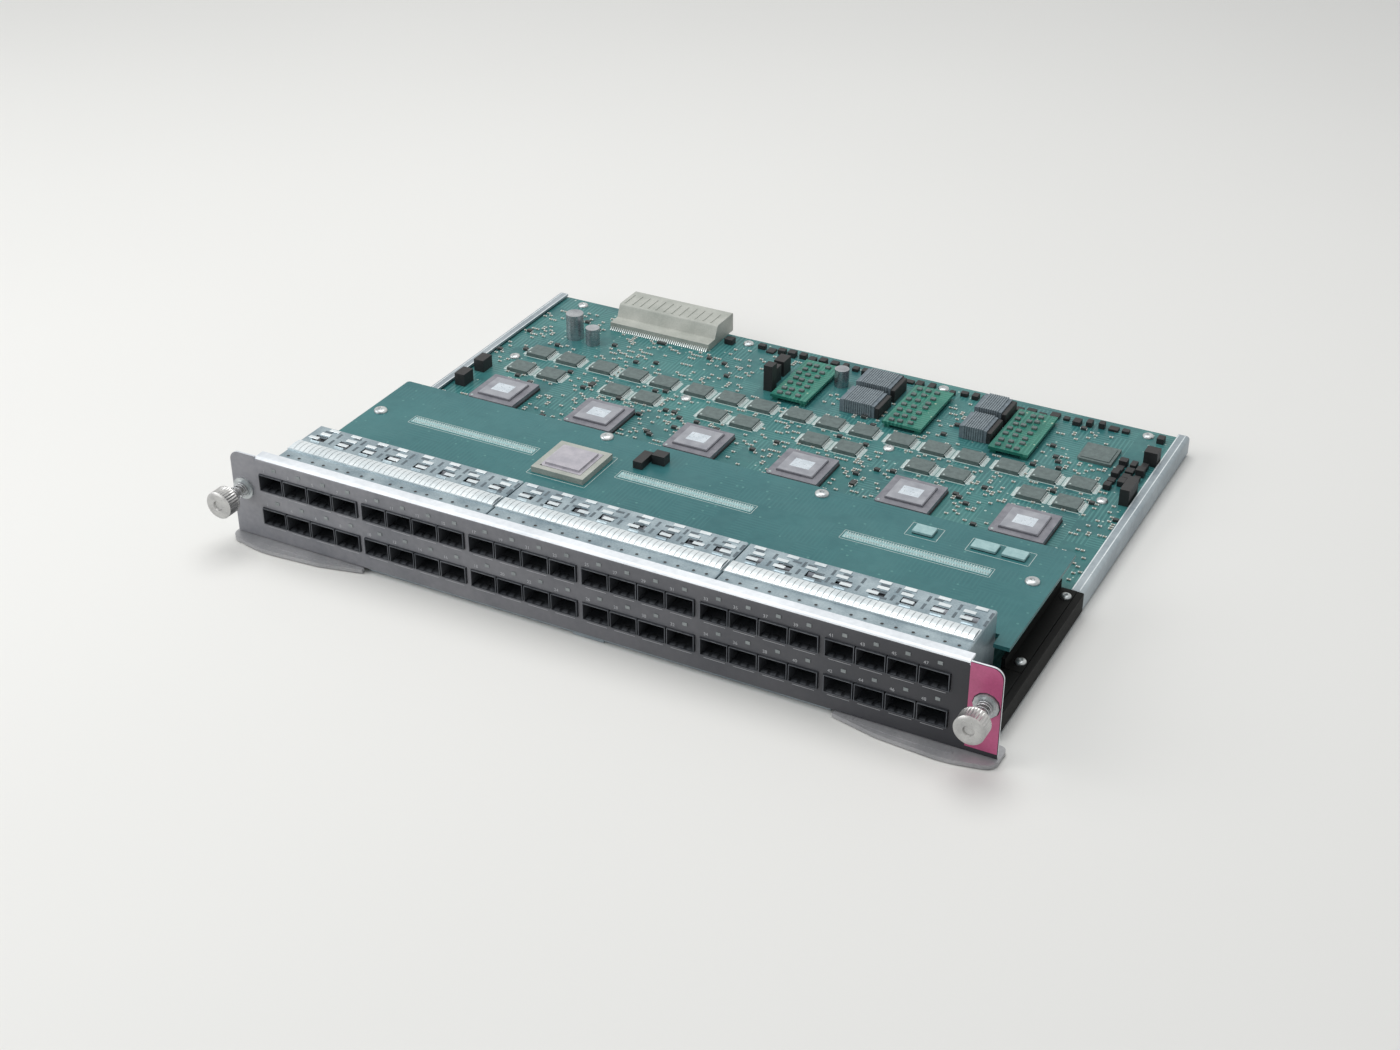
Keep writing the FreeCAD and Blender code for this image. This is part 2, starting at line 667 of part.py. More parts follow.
def make_power_section():
    """Small converter boards raised on pads, wound inductors, capacitors and tall blocks."""
    for index, (x, width) in enumerate(((-22.0, 21.0), (43.0, 22.0), (102.0, 21.5))):
        feet = [block(3, 3, 2, (x + dx, y, "board_top"))
                for dx in (1, width - 4) for y in (230.0, 271.0)]
        plate = block(width, 46, 1.6, (x, 229, "board_top + 2"))
        node(joined([plate] + feet), "power_board_%d" % (index + 1))
    group("power_inductors", [block(width, 17, tall, (x, y, "board_top"))
                              for x, width, y, tall in ((16, 20, 235, 7), (16, 20, 256, 8),
                                                        (83, 15, 237, 7), (83, 15, 258, 8))])
    group("capacitors", [rod(radius, tall, (x, y, "board_top"))
                         for x, y, radius, tall in ((-153, 245.6, 5, 15), (-140, 243, 4, 10),
                                                    (5, 262, 4, 10))])
    node(block(5, 6, 15, (-30, 237, "board_top")), "filter_block")
    group("edge_blocks", [block(5, 15, 9, (178, 209, "board_top")),
                          block(7, 7, 8, (176.5, 253, "board_top")),
                          block(6, 9, 9, (-33, 244, "board_top")),
                          block(6, 9, 9, (-33, 256, "board_top")),
                          block(6, 9, 7, (-181, 165, "board_top")),
                          block(6, 9, 7, (-181, 184, "board_top"))])
    group("deck_parts", [block(5, 12, 4, (-34, 101, "deck_top")),
                         block(7, 6, 5, (-28, 109, "deck_top")),
                         block(10, 7, 1.6, (110, 108, "deck_top")),
                         block(12, 7, 1.6, (139, 108, "deck_top")),
                         block(11, 7, 1.6, (154, 108, "deck_top"))])


def make_side_bracket():
    """Black moulded guide beside the port cages, on the board's right-hand front edge."""
    body = new_body("side_bracket")
    section = sketch_on(body, "XZ_Plane", "-48.6")
    level = s.board_top
    outline(section, [(177.6, level), (187.0, level), (187.0, level + 2.4), (179.4, level + 2.4),
                      (179.4, level + 7.0), (177.6, level + 7.0)])
    pad(body, section, "73", backwards=True)
    group("bracket_screws", [prism(HEAD_SIDES, 2.6, 1.5, (184.0, y, "board_top + 2.4"))
                             for y in (56.0, 114.6)])


make_faceplate()
make_end_label()
make_carrier_tray()
make_main_board()
make_mezzanine_board()
make_spacers()
for bank_index in BANKS:
    make_port_cage(bank_index)
    make_cage_partitions(bank_index)
    make_cage_separators(bank_index)
    make_port_connectors(bank_index)
make_cage_trim()
make_ejector("ejector_left", -1)
make_ejector("ejector_right", 1)
make_ejector_pivots()
make_screw_hardware()
make_chips()
make_backplane_connector()
make_stack_connectors()
make_power_section()
make_side_bracket()

doc.recompute()

for item in doc.Objects:
    if "Invalid" in item.State or "Error" in item.State:
        raise RuntimeError("failed: %s (%s) %s" % (item.Label, item.Name, item.State))
for item in NODES:
    if item.Shape.isNull() or not item.Shape.isValid():
        raise RuntimeError("bad shape: " + item.Label)

os.makedirs("parts", exist_ok=True)
for item in NODES:
    item.Shape.exportStep("parts/%s.step" % item.Label)
print(len(NODES), "sub-parts")
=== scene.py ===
import math
import bpy
import numpy as np
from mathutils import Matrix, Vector


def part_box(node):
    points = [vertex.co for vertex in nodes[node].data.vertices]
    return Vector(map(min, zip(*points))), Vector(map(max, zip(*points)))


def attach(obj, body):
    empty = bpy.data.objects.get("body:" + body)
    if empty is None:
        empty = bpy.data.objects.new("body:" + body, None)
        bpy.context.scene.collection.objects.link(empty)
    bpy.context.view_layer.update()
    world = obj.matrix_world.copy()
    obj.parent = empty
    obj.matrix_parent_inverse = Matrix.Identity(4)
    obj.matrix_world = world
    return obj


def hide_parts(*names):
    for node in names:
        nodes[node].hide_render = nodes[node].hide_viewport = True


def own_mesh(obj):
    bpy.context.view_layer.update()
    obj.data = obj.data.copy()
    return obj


# A switch line card with 48 ports: surfaces, finishes, dressing over the solids, and the room.

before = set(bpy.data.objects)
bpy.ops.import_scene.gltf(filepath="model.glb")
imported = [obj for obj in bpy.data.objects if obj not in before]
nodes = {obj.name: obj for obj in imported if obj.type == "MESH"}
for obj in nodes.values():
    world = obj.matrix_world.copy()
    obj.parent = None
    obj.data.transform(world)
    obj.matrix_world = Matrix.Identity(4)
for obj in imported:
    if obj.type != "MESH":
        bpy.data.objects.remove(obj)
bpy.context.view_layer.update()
MM = 0.001
rng = np.random.default_rng(48)


def corners_mm(node):
    """Lowest and highest corner of a solid, in millimetres."""
    low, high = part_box(node)
    return np.array(low) / MM, np.array(high) / MM


# ------------------------------------------------------------------ surfaces
# A surface is (points, four-sided faces, three-sided faces).

NO_TRIS = np.zeros((0, 3), int)


def spread(x, y, z):
    """Triples from x, y and z, each a list or one number for all."""
    return np.stack(np.broadcast_arrays(x, y, z), axis=-1)


def together(*surfaces):
    """Several surfaces as one: each one's point numbers are moved on by the points before it."""
    counts = np.cumsum([0] + [len(surface[0]) for surface in surfaces])
    points = np.concatenate([surface[0] for surface in surfaces])
    quads = np.concatenate([surface[1] + n for surface, n in zip(surfaces, counts)])
    tris = np.concatenate([surface[2] + n for surface, n in zip(surfaces, counts)])
    return points, quads, tris


def repeated(faces, copies, per_copy):
    """One copy's faces, numbered on by per_copy for each further copy."""
    shift = (np.arange(copies) * per_copy)[:, None, None]
    return (faces[None] + shift).reshape(-1, faces.shape[1])


def walls(rings, around, closed_rings=False):
    """Faces between neighbouring rings: point i of a ring joins point i + 1 and the ring above."""
    i = np.arange(around)
    r = np.arange(rings if closed_rings else rings - 1)[:, None]
    up = (r + 1) % rings
    following = (i + 1) % around
    faces = np.stack([r * around + i, r * around + following,
                      up * around + following, up * around + i], axis=-1)
    return faces.reshape(-1, 4)


def poles(rings, around):
    """Fans over the first and the last ring, from two points numbered after every ring."""
    i, last, pole = np.arange(around), (rings - 1) * around, rings * around
    j = (i + 1) % around
    return np.concatenate([spread(j, i, pole), spread(last + i, last + j, pole + 1)])


def soft_blocks(lows, highs, bevel):
    """Boxes with every edge cut at 45 degrees: an eight-cornered ring x = side * (half width
    - cut), y likewise, at four heights, the outermost two drawn in by the bevel."""
    lows, highs = np.atleast_2d(lows).astype(float), np.atleast_2d(highs).astype(float)
    middle, half = (lows + highs) / 2, (highs - lows) / 2
    cut = np.minimum(bevel, half.min(axis=1) * 0.45)[:, None, None]
    side_x = np.array([1, 1, 1, -1, -1, -1, -1, 1.0])
    side_y = np.array([-1, 1, 1, 1, 1, -1, -1, -1.0])
    cut_x = np.array([0, 0, 1, 1, 0, 0, 1, 1.0])
    inset = np.array([1, 0, 0, 1.0])[:, None]
    x = middle[:, 0, None, None] + side_x * (half[:, 0, None, None] - cut * (cut_x + inset))
    y = middle[:, 1, None, None] + side_y * (half[:, 1, None, None] - cut * (1 - cut_x + inset))
    rise = np.array([-1, -1, 1, 1.0])[:, None] * (half[:, 2, None, None] - cut * (1 - inset))
    z = middle[:, 2, None, None] + rise + 0 * x
    points = np.stack([x, y, z], axis=-1).reshape(-1, 3)
    top = np.array([[0, 1, 2, 3], [0, 3, 4, 7], [4, 5, 6, 7]])
    faces = np.concatenate([walls(4, 8), top + 24, top[:, ::-1]])
    return points, repeated(faces, len(lows), 32), NO_TRIS


def lathes(centres, profile, sides=16, hollow=False, ripple=None):
    """Turned shapes: radius and height along the profile, x = radius cos t, y = radius sin t.
    A hollow profile closes on itself; a solid one ends in a pole at each end.
    ripple(angle, height) scales the radius, for knurls and threads."""
    centres = np.atleast_2d(centres).astype(float)
    radius, height = np.asarray(profile, float).T
    angle = 2 * np.pi * np.arange(sides) / sides
    scale = 1 if ripple is None else ripple(angle[None], height[:, None])
    reach = radius[:, None] * scale
    ring = spread(reach * np.cos(angle), reach * np.sin(angle), height[:, None]).reshape(-1, 3)
    rings = len(radius)
    quads, tris = walls(rings, sides, hollow), NO_TRIS
    if not hollow:
        ring = np.concatenate([ring, [[0, 0, height[0]], [0, 0, height[-1]]]])
        tris = poles(rings, sides)
    points = (ring[None] + centres[:, None]).reshape(-1, 3)
    n = len(ring)
    return points, repeated(quads, len(centres), n), repeated(tris, len(centres), n)


def carried(paths, side, width, thick):
    """A flat bar's section carried along each path: width lies along side, thickness along
    the cross product of the path's direction and side."""
    paths = np.asarray(paths, float)
    if paths.ndim == 2:
        paths = paths[None]
    along = np.gradient(paths, axis=1)
    along /= np.linalg.norm(along, axis=-1, keepdims=True)
    side = np.broadcast_to(np.asarray(side, float), paths.shape)
    up = np.cross(along, side)
    across = np.array([1, 1, -1, -1.0])[:, None] * width / 2
    raised = np.array([-1, 1, 1, -1.0])[:, None] * thick / 2
    points = paths[:, :, None] + across * side[:, :, None] + raised * up[:, :, None]
    steps = paths.shape[1]
    faces = np.concatenate([walls(steps, 4), [[3, 2, 1, 0]],
                            np.arange(4)[None] + 4 * (steps - 1)])
    return points.reshape(-1, 3), repeated(faces, len(paths), 4 * steps), NO_TRIS


def coil(radius, wire, turns, length, steps=26, sides=8):
    """Round wire on a helix about the third axis: centre line (R cos t, R sin t, rise), closed
    by a pole at each end. A little over half a turn lies flat at each end of the rise."""
    share = np.linspace(0, 1, turns * steps + 1)
    angle = 2 * np.pi * turns * share
    flat = 0.6 / turns
    rise = wire / 2 + (length - wire) * np.clip((share - flat) / (1 - 2 * flat), 0, 1)
    path = spread(radius * np.cos(angle), radius * np.sin(angle), rise)
    along = np.gradient(path, axis=0)
    along /= np.linalg.norm(along, axis=1, keepdims=True)
    outward = spread(np.cos(angle), np.sin(angle), 0)
    upward = np.cross(along, outward)
    turn = 2 * np.pi * np.arange(sides) / sides
    points = (path[:, None] + wire / 2 * (np.cos(turn)[None, :, None] * outward[:, None]
                                          + np.sin(turn)[None, :, None] * upward[:, None]))
    n = len(path)
    points = np.concatenate([points.reshape(-1, 3), path[[0, -1]]])
    return points, walls(n, sides), poles(n, sides)


def collars(centres, width, height, wall, front, back):
    """Rectangular tubes along the second axis: an outer and an inner four-cornered ring at the
    front and back, joined outside, at the front rim, inside and at the back rim."""
    centres = np.atleast_2d(centres).astype(float)
    sign_x, sign_z = np.array([-1, 1, 1, -1.0]), np.array([-1, -1, 1, 1.0])
    rings = [(0, back), (0, front), (wall, front), (wall, back)]
    ring = np.concatenate([spread(sign_x * (width / 2 - inset), y, sign_z * (height / 2 - inset))
                           for inset, y in rings])
    points = (ring[None] + centres[:, None]).reshape(-1, 3)
    return points, repeated(walls(4, 4, True), len(centres), 16), NO_TRIS


def facing_front(surface, at):
    """Turns the third axis to the card's front, the second one up, and moves it to a place."""
    points, quads, tris = surface
    return spread(points[:, 0], -points[:, 2], points[:, 1]) + at, quads, tris


def piece(name, surface, material, body="card", smooth=None, stands_for=()):
    """Puts a surface into the scene: millimetres to metres, smooth up to the given angle. A new
    piece takes the material it is given."""
    points, quads, tris = surface
    mesh = bpy.data.meshes.new(name)
    mesh.from_pydata((points * MM).tolist(), [], quads.tolist() + tris.tolist())
    mesh.materials.append(material)
    if smooth is not None:
        mesh.polygons.foreach_set("use_smooth", np.ones(len(mesh.polygons), bool))
        mesh.set_sharp_from_angle(angle=math.radians(smooth))
    mesh.update()
    made = bpy.data.objects.new(name, mesh)
    bpy.context.scene.collection.objects.link(made)
    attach(made, body)
    if stands_for:
        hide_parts(*stands_for)
    return made


# ------------------------------------------------------------------ finishes

def tone(red, green, blue):
    """A paint-chart colour, 0 to 255, as the shader's own linear values."""
    c = np.array([red, green, blue]) / 255
    linear = np.where(c <= 0.04045, c / 12.92, ((c + 0.055) / 1.055) ** 2.4)
    return tuple(linear) + (1.0,)


class Bench:
    """Lays out nodes in one tree."""

    def __init__(self, tree):
        self.tree = tree

    def node(self, kind, settings=None, **inputs):
        """One node with its settings, and its inputs by name."""
        made = self.tree.nodes.new(kind)
        for key, value in (settings or {}).items():
            setattr(made, key, value)
        for key, value in inputs.items():
            self.feed(made.inputs[key.replace("_", " ")], value)
        return made

    def feed(self, socket, value):
        """Links another node's output to an input, or sets the input to a plain value."""
        if isinstance(value, bpy.types.NodeSocket):
            self.tree.links.new(value, socket)
        else:
            socket.default_value = value

    def place(self):
        """Where a point lies in its object's own frame."""
        return self.node("ShaderNodeTexCoord").outputs["Object"]

    def maths(self, operation, *values, clamp=False):
        made = self.tree.nodes.new("ShaderNodeMath")
        made.operation, made.use_clamp = operation, clamp
        for socket, value in zip(made.inputs, values):
            self.feed(socket, value)
        return made.outputs[0]

    def blend(self, share, first, second):
        """The first colour at a share of 0, the second at 1."""
        made = self.tree.nodes.new("ShaderNodeMix")
        made.data_type = "RGBA"
        for number, value in ((0, share), (6, first), (7, second)):
            self.feed(made.inputs[number], value)
        return made.outputs[2]


def effect(name, wanted, given):
    """An empty node group: its inputs with their defaults, and its outputs."""
    tree = bpy.data.node_groups.new(name, "ShaderNodeTree")
    for label, kind, default in wanted:
        tree.interface.new_socket(label, in_out="INPUT",
                                  socket_type="NodeSocket" + kind).default_value = default
    for label, kind in given:
        tree.interface.new_socket(label, in_out="OUTPUT", socket_type="NodeSocket" + kind)
    bench = Bench(tree)
    return bench, bench.node("NodeGroupInput").outputs, bench.node("NodeGroupOutput").inputs


GREY = (0.5, 0.5, 0.5, 1.0)


def make_uneven_tone():
    """Two close colours mixed by cloudy noise, with finer mottling on top."""
    b, given, out = effect("uneven tone", [("Light", "Color", GREY), ("Dark", "Color", GREY),
                                           ("Size", "Float", 60.0)],
                           [("Colour", "Color"), ("Height", "Float")])
    finer, cloud_weight, fine_weight, contrast = 14.0, 0.7, 0.3, 3.0
    place = b.place()
    cloud = b.node("ShaderNodeTexNoise", Vector=place, Scale=given["Size"], Detail=3.0)
    fine = b.node("ShaderNodeTexNoise", Vector=place, Detail=2.0,
                  Scale=b.maths("MULTIPLY", given["Size"], finer))
    mixed = b.maths("ADD", b.maths("MULTIPLY", cloud.outputs[0], cloud_weight),
                    b.maths("MULTIPLY", fine.outputs[0], fine_weight))
    share = b.maths("MULTIPLY_ADD", b.maths("SUBTRACT", mixed, 0.5), contrast, 0.5, clamp=True)
    b.feed(out["Colour"], b.blend(share, given["Light"], given["Dark"]))
    b.feed(out["Height"], fine.outputs[0])
    return b.tree


def make_rolled_grain():
    """Noise drawn out along one direction, as left by rolling and brushing."""
    b, given, out = effect("rolled grain", [("Stretch", "Vector", (1.0, 1.0, 1.0)),
                                            ("Smoothest", "Float", 0.3), ("Roughest", "Float", 0.5)],
                           [("Roughness", "Float"), ("Height", "Float")])
    place = b.place()
    drawn = b.node("ShaderNodeVectorMath", {"operation": "MULTIPLY"})
    b.feed(drawn.inputs[0], place)
    b.feed(drawn.inputs[1], given["Stretch"])
    grain = b.node("ShaderNodeTexNoise", Vector=drawn.outputs[0], Scale=1.0, Detail=4.0).outputs[0]
    between = b.maths("SUBTRACT", given["Roughest"], given["Smoothest"])
    b.feed(out["Roughness"], b.maths("MULTIPLY_ADD", grain, between, given["Smoothest"]))
    b.feed(out["Height"], grain)
    return b.tree


def make_settled_dust():
    """Specks and thin patches of a paler colour over a base colour."""
    b, given, out = effect("settled dust", [("Colour", "Color", GREY), ("Dust", "Color", GREY),
                                            ("Amount", "Float", 0.1)],
                           [("Colour", "Color")])
    speck_size, speck_shows, patch_from, patch_shows = 0.9, 0.35, 0.42, 2.0
    place = b.place()
    specks = b.node("ShaderNodeTexVoronoi", Vector=place, Scale=900.0).outputs["Distance"]
    patches = b.node("ShaderNodeTexNoise", Vector=place, Scale=35.0, Detail=4.0).outputs[0]
    speck = b.maths("LESS_THAN", specks, b.maths("MULTIPLY", given["Amount"], speck_size))
    patch = b.maths("MULTIPLY", b.maths("SUBTRACT", patches, patch_from, clamp=True), given["Amount"])
    mask = b.maths("ADD", b.maths("MULTIPLY", speck, speck_shows),
                   b.maths("MULTIPLY", patch, patch_shows), clamp=True)
    b.feed(out["Colour"], b.blend(mask, given["Colour"], given["Dust"]))
    return b.tree


def make_etched_tracks():
    """Copper under solder mask: the board is parted into cells, each with lanes along one of
    two directions or none, and round via lands are strewn between."""
    b, given, out = effect("etched tracks", [("Board", "Color", GREY), ("Copper", "Color", GREY),
                                             ("Via", "Color", GREY), ("Cell", "Float", 0.011),
                                             ("Lane", "Float", 0.0011)],
                           [("Colour", "Color"), ("Height", "Float"), ("Land", "Float")])
    lane_width, lengthwise_below, crosswise_above, copper_shows = 0.42, 0.36, 0.66, 0.55
    via_scale, via_above, via_radius = 260.0, 0.72, 0.17
    place = b.place()
    split = b.node("ShaderNodeSeparateXYZ", Vector=place).outputs
    cell = [b.maths("FLOOR", b.maths("DIVIDE", split[axis], given["Cell"])) for axis in (0, 1)]
    number = b.node("ShaderNodeCombineXYZ", X=cell[0], Y=cell[1]).outputs[0]
    draw = b.node("ShaderNodeTexWhiteNoise", Vector=number).outputs["Value"]
    lanes = [b.maths("LESS_THAN", b.maths("PINGPONG", split[axis], given["Lane"]),
                     b.maths("MULTIPLY", given["Lane"], lane_width)) for axis in (0, 1)]
    along = b.maths("MULTIPLY", b.maths("LESS_THAN", draw, lengthwise_below), lanes[0])
    across = b.maths("MULTIPLY", b.maths("GREATER_THAN", draw, crosswise_above), lanes[1])
    track = b.maths("ADD", along, across)
    dots = b.node("ShaderNodeTexVoronoi", Vector=place, Scale=via_scale)
    draws = b.node("ShaderNodeSeparateColor", Color=dots.outputs["Color"]).outputs[0]
    chosen = b.maths("GREATER_THAN", draws, via_above)
    land = b.maths("MULTIPLY", b.maths("LESS_THAN", dots.outputs["Distance"], via_radius), chosen)
    coppered = b.blend(b.maths("MULTIPLY", track, copper_shows), given["Board"], given["Copper"])
    b.feed(out["Colour"], b.blend(land, coppered, given["Via"]))
    b.feed(out["Height"], b.maths("MAXIMUM", track, land))
    b.feed(out["Land"], land)
    return b.tree


# How far across the card the panel's painted shade deepens, in metres.
PAINTED_SHADE_RUN = 0.392
UNEVEN, ROLLED = make_uneven_tone(), make_rolled_grain()
DUST, TRACKS = make_settled_dust(), make_etched_tracks()


def finish(name, light, dark, rough, metallic=0.0, size=60.0, stretch=(900, 900, 900), bump=0.05,
           dust=0.0, coat=0.0, tracks=None, bare_behind=None, gloss=0.5, painted_shade_end=None):
    """One material: cloudy colour, then tracks or dust if it has them, grain in the roughness,
    and both heights in the bump. A painted front may give way to bare steel behind a depth,
    and as painted shade its tone may deepen from the card's left end to its right end."""
    made = bpy.data.materials.new(name)
    made.use_nodes = True
    made.diffuse_color = light
    b = Bench(made.node_tree)
    shader = made.node_tree.nodes["Principled BSDF"]
    shader.inputs["Metallic"].default_value = metallic
    shader.inputs["Coat Weight"].default_value = coat
    shader.inputs["Specular IOR Level"].default_value = gloss
    shader.inputs["Coat Roughness"].default_value = 0.15

    def use(tree, **inputs):
        return b.node("ShaderNodeGroup", {"node_tree": tree}, **inputs).outputs

    cloudy = use(UNEVEN, Light=light, Dark=dark, Size=size)
    colour, height = cloudy["Colour"], cloudy["Height"]
    grain = use(ROLLED, Stretch=stretch, Smoothest=rough[0], Roughest=rough[1])
    height = b.maths("ADD", height, grain["Height"])
    if tracks:
        laid = use(TRACKS, Board=colour, Copper=tracks[0], Via=tracks[1])
        colour = laid["Colour"]
        height = b.maths("ADD", b.maths("MULTIPLY", height, 0.3), laid["Height"])
        b.feed(shader.inputs["Metallic"], b.maths("MULTIPLY", laid["Land"], 0.6))
    if dust:
        colour = use(DUST, Colour=colour, Dust=tone(206, 206, 200), Amount=dust)["Colour"]
    # Painted shade: the colour deepens toward the given darker tone from the card's left end to its right
    # end, for light falling off across the card.
    if painted_shade_end is not None:
        along = b.node("ShaderNodeSeparateXYZ", Vector=b.place())
        share = b.maths("MULTIPLY_ADD", along.outputs[0], 1 / PAINTED_SHADE_RUN, 0.5, clamp=True)
        colour = b.blend(share, colour, painted_shade_end)
    if bare_behind is not None:
        depth = b.node("ShaderNodeSeparateXYZ", Vector=b.place())
        bare = b.maths("GREATER_THAN", depth.outputs[1], bare_behind * MM)
        steel = use(UNEVEN, Light=tone(232, 236, 240), Dark=tone(204, 209, 214), Size=30.0)
        colour = b.blend(bare, colour, steel["Colour"])
        b.feed(shader.inputs["Metallic"], b.maths("MULTIPLY_ADD", bare, 0.35, 0.1))
    b.feed(shader.inputs["Base Color"], colour)
    b.feed(shader.inputs["Roughness"], grain["Roughness"])
    relief = b.node("ShaderNodeBump", Height=height, Strength=bump, Distance=0.0003)
    b.feed(shader.inputs["Normal"], relief.outputs[0])
    return made


# The panel's darker right end is painted shade, for the light falling off across it.
PANEL = finish("grey panel paint", tone(152, 152, 157), tone(124, 126, 132), (0.42, 0.6), size=25,
               bump=0.12, dust=0.06, bare_behind=-2.15, painted_shade_end=tone(44, 45, 50))
TRAY = finish("brushed tray steel", tone(172, 182, 188), tone(136, 148, 156), (0.3, 0.5), 0.6,
              stretch=(2600, 60, 2600), size=20, dust=0.06)
MAIN = finish("main board mask", tone(60, 122, 120), tone(34, 94, 98), (0.28, 0.42), size=22, coat=0.08,
              tracks=(tone(84, 144, 140), tone(178, 200, 194)), dust=0.05, gloss=0.28)
DECK = finish("mezzanine board mask", tone(58, 116, 118), tone(38, 98, 102), (0.3, 0.44), size=14,
              coat=0.08, tracks=(tone(56, 114, 116), tone(84, 136, 134)), dust=0.02, gloss=0.28)
POWER = finish("converter board mask", tone(46, 124, 106), tone(30, 102, 90), (0.3, 0.45), size=60,
               coat=0.08, tracks=(tone(78, 148, 130), tone(166, 190, 168)), gloss=0.28)
CAGE = finish("cage steel", tone(172, 187, 193), tone(120, 138, 148), (0.26, 0.44), 0.65,
              stretch=(200, 1800, 1800), size=80, dust=0.05)
# Painted shade: the cage's partitions, separators, port collars and spring tongues take this darker copy
# of the cage steel, for the shade inside the ports and under the roof.
SHADED_STEEL = finish("steel darkened for shade", tone(112, 115, 120), tone(82, 86, 92), (0.35, 0.5), 0.7)
# Bright plated gasket steel; the same finish on the cage's tongues and on the rails' rolled edges is a
# painted glint.
STRIP_AND_GLINTS = finish("gasket strip and painted glints", tone(236, 242, 244), tone(206, 216, 220), (0.22, 0.38), 0.55,
               stretch=(40, 2400, 2400))
SCREW = finish("zinc screw", tone(206, 210, 210), tone(160, 166, 170), (0.24, 0.42), 0.85, size=260)
BRASS = finish("tinned brass", tone(200, 192, 160), tone(166, 156, 124), (0.28, 0.42), 0.85, size=200)
KNOB = finish("nickel grip", tone(204, 204, 202), tone(168, 168, 168), (0.22, 0.38), 0.8, size=180)
SPRING = finish("spring wire", tone(190, 192, 194), tone(150, 152, 156), (0.2, 0.34), 0.9, size=400)
LEVER = finish("ejector steel", tone(178, 178, 180), tone(148, 149, 152), (0.34, 0.52), 0.3, size=50,
               stretch=(120, 1800, 1800), dust=0.08)
LABEL = finish("end label film", tone(204, 96, 142), tone(182, 82, 124), (0.3, 0.42), size=70, coat=0.3)
LENS = finish("light pipe resin", tone(148, 154, 154), tone(124, 131, 132), (0.2, 0.34), size=300,
              coat=0.2)
# Black nylon; the same tone also serves as painted shade in the cage's vent holes and round the large
# chips' feet.
BLACK_AND_SHADE = finish("black nylon, also painted shade", tone(30, 31, 33), tone(20, 21, 23), (0.45, 0.62), size=200, bump=0.1)
# Near black: partly the black side bracket, partly painted shade in the deep gap beside the deck.
BRACKET_AND_GAP_SHADE = finish("black bracket and painted gap shade", tone(9, 10, 10), tone(5, 6, 6), (0.55, 0.72), size=90, gloss=0.15)
MOULD = finish("chip moulding", tone(104, 118, 116), tone(82, 95, 94), (0.5, 0.66), size=380, bump=0.14)
PACKAGE = finish("large chip moulding", tone(140, 140, 146), tone(112, 112, 120), (0.45, 0.6), size=200,
                 bump=0.12)
LID = finish("chip lid", tone(170, 172, 178), tone(142, 144, 152), (0.3, 0.46), 0.35, size=160)
CERAMIC = finish("processor lid", tone(190, 186, 192), tone(164, 162, 170), (0.36, 0.5), 0.2, size=200)
CREAM = finish("cream moulding", tone(186, 188, 180), tone(158, 162, 154), (0.42, 0.58), size=90,
               bump=0.1)
FERRITE = finish("ferrite core", tone(118, 130, 138), tone(92, 103, 110), (0.5, 0.68), size=300,
                 bump=0.2)
CAN = finish("capacitor can", tone(186, 190, 194), tone(146, 150, 156), (0.2, 0.36), 0.85,
             stretch=(60, 60, 3000), size=120)
SOLDER = finish("solder joints", tone(204, 220, 218), tone(170, 190, 190), (0.28, 0.46), 0.4, size=700)
TIN = finish("tinned leads", tone(232, 238, 236), tone(196, 206, 204), (0.26, 0.44), 0.4, size=900)
LAND = finish("tinned lands", tone(166, 198, 198), tone(140, 176, 178), (0.34, 0.5), 0.15, size=420)
# Painted shade: flat dark patches stand for the shade inside the slots and notches of the cage roof.
SHADED = finish("painted shade in cage roof openings", tone(98, 111, 118), tone(72, 84, 91), (0.5, 0.66), size=300)
# Painted highlight: this pale patch on each large chip's lid stands for the lamp's reflection there.
PAINTED_HIGHLIGHT = finish("painted highlight patch", tone(222, 230, 236), tone(196, 206, 214), (0.22, 0.36), 0.3, size=240)
PALE_INK = finish("pale legend ink", tone(196, 208, 204), tone(168, 186, 182), (0.5, 0.66), size=500)
PANEL_INK = finish("panel legend ink", tone(196, 198, 200), tone(166, 168, 172), (0.5, 0.66), size=600)
TAN = finish("ceramic capacitors", tone(176, 172, 160), tone(140, 138, 128), (0.4, 0.56), size=900)
DARK_PART = finish("moulded capacitors", tone(62, 66, 66), tone(44, 48, 48), (0.4, 0.55), size=500)
GOLD = finish("gilded contacts", tone(214, 180, 104), tone(176, 142, 78), (0.2, 0.34), 0.9, size=600)
WINDING = finish("tape round the windings", tone(132, 144, 150), tone(104, 115, 122), (0.36, 0.5), 0.1,
                 stretch=(3000, 200, 200), size=500)


def numbered(kind, count):
    """The names of the solids that differ only in their number."""
    return tuple("%s_%d" % (kind, n) for n in range(1, count + 1))


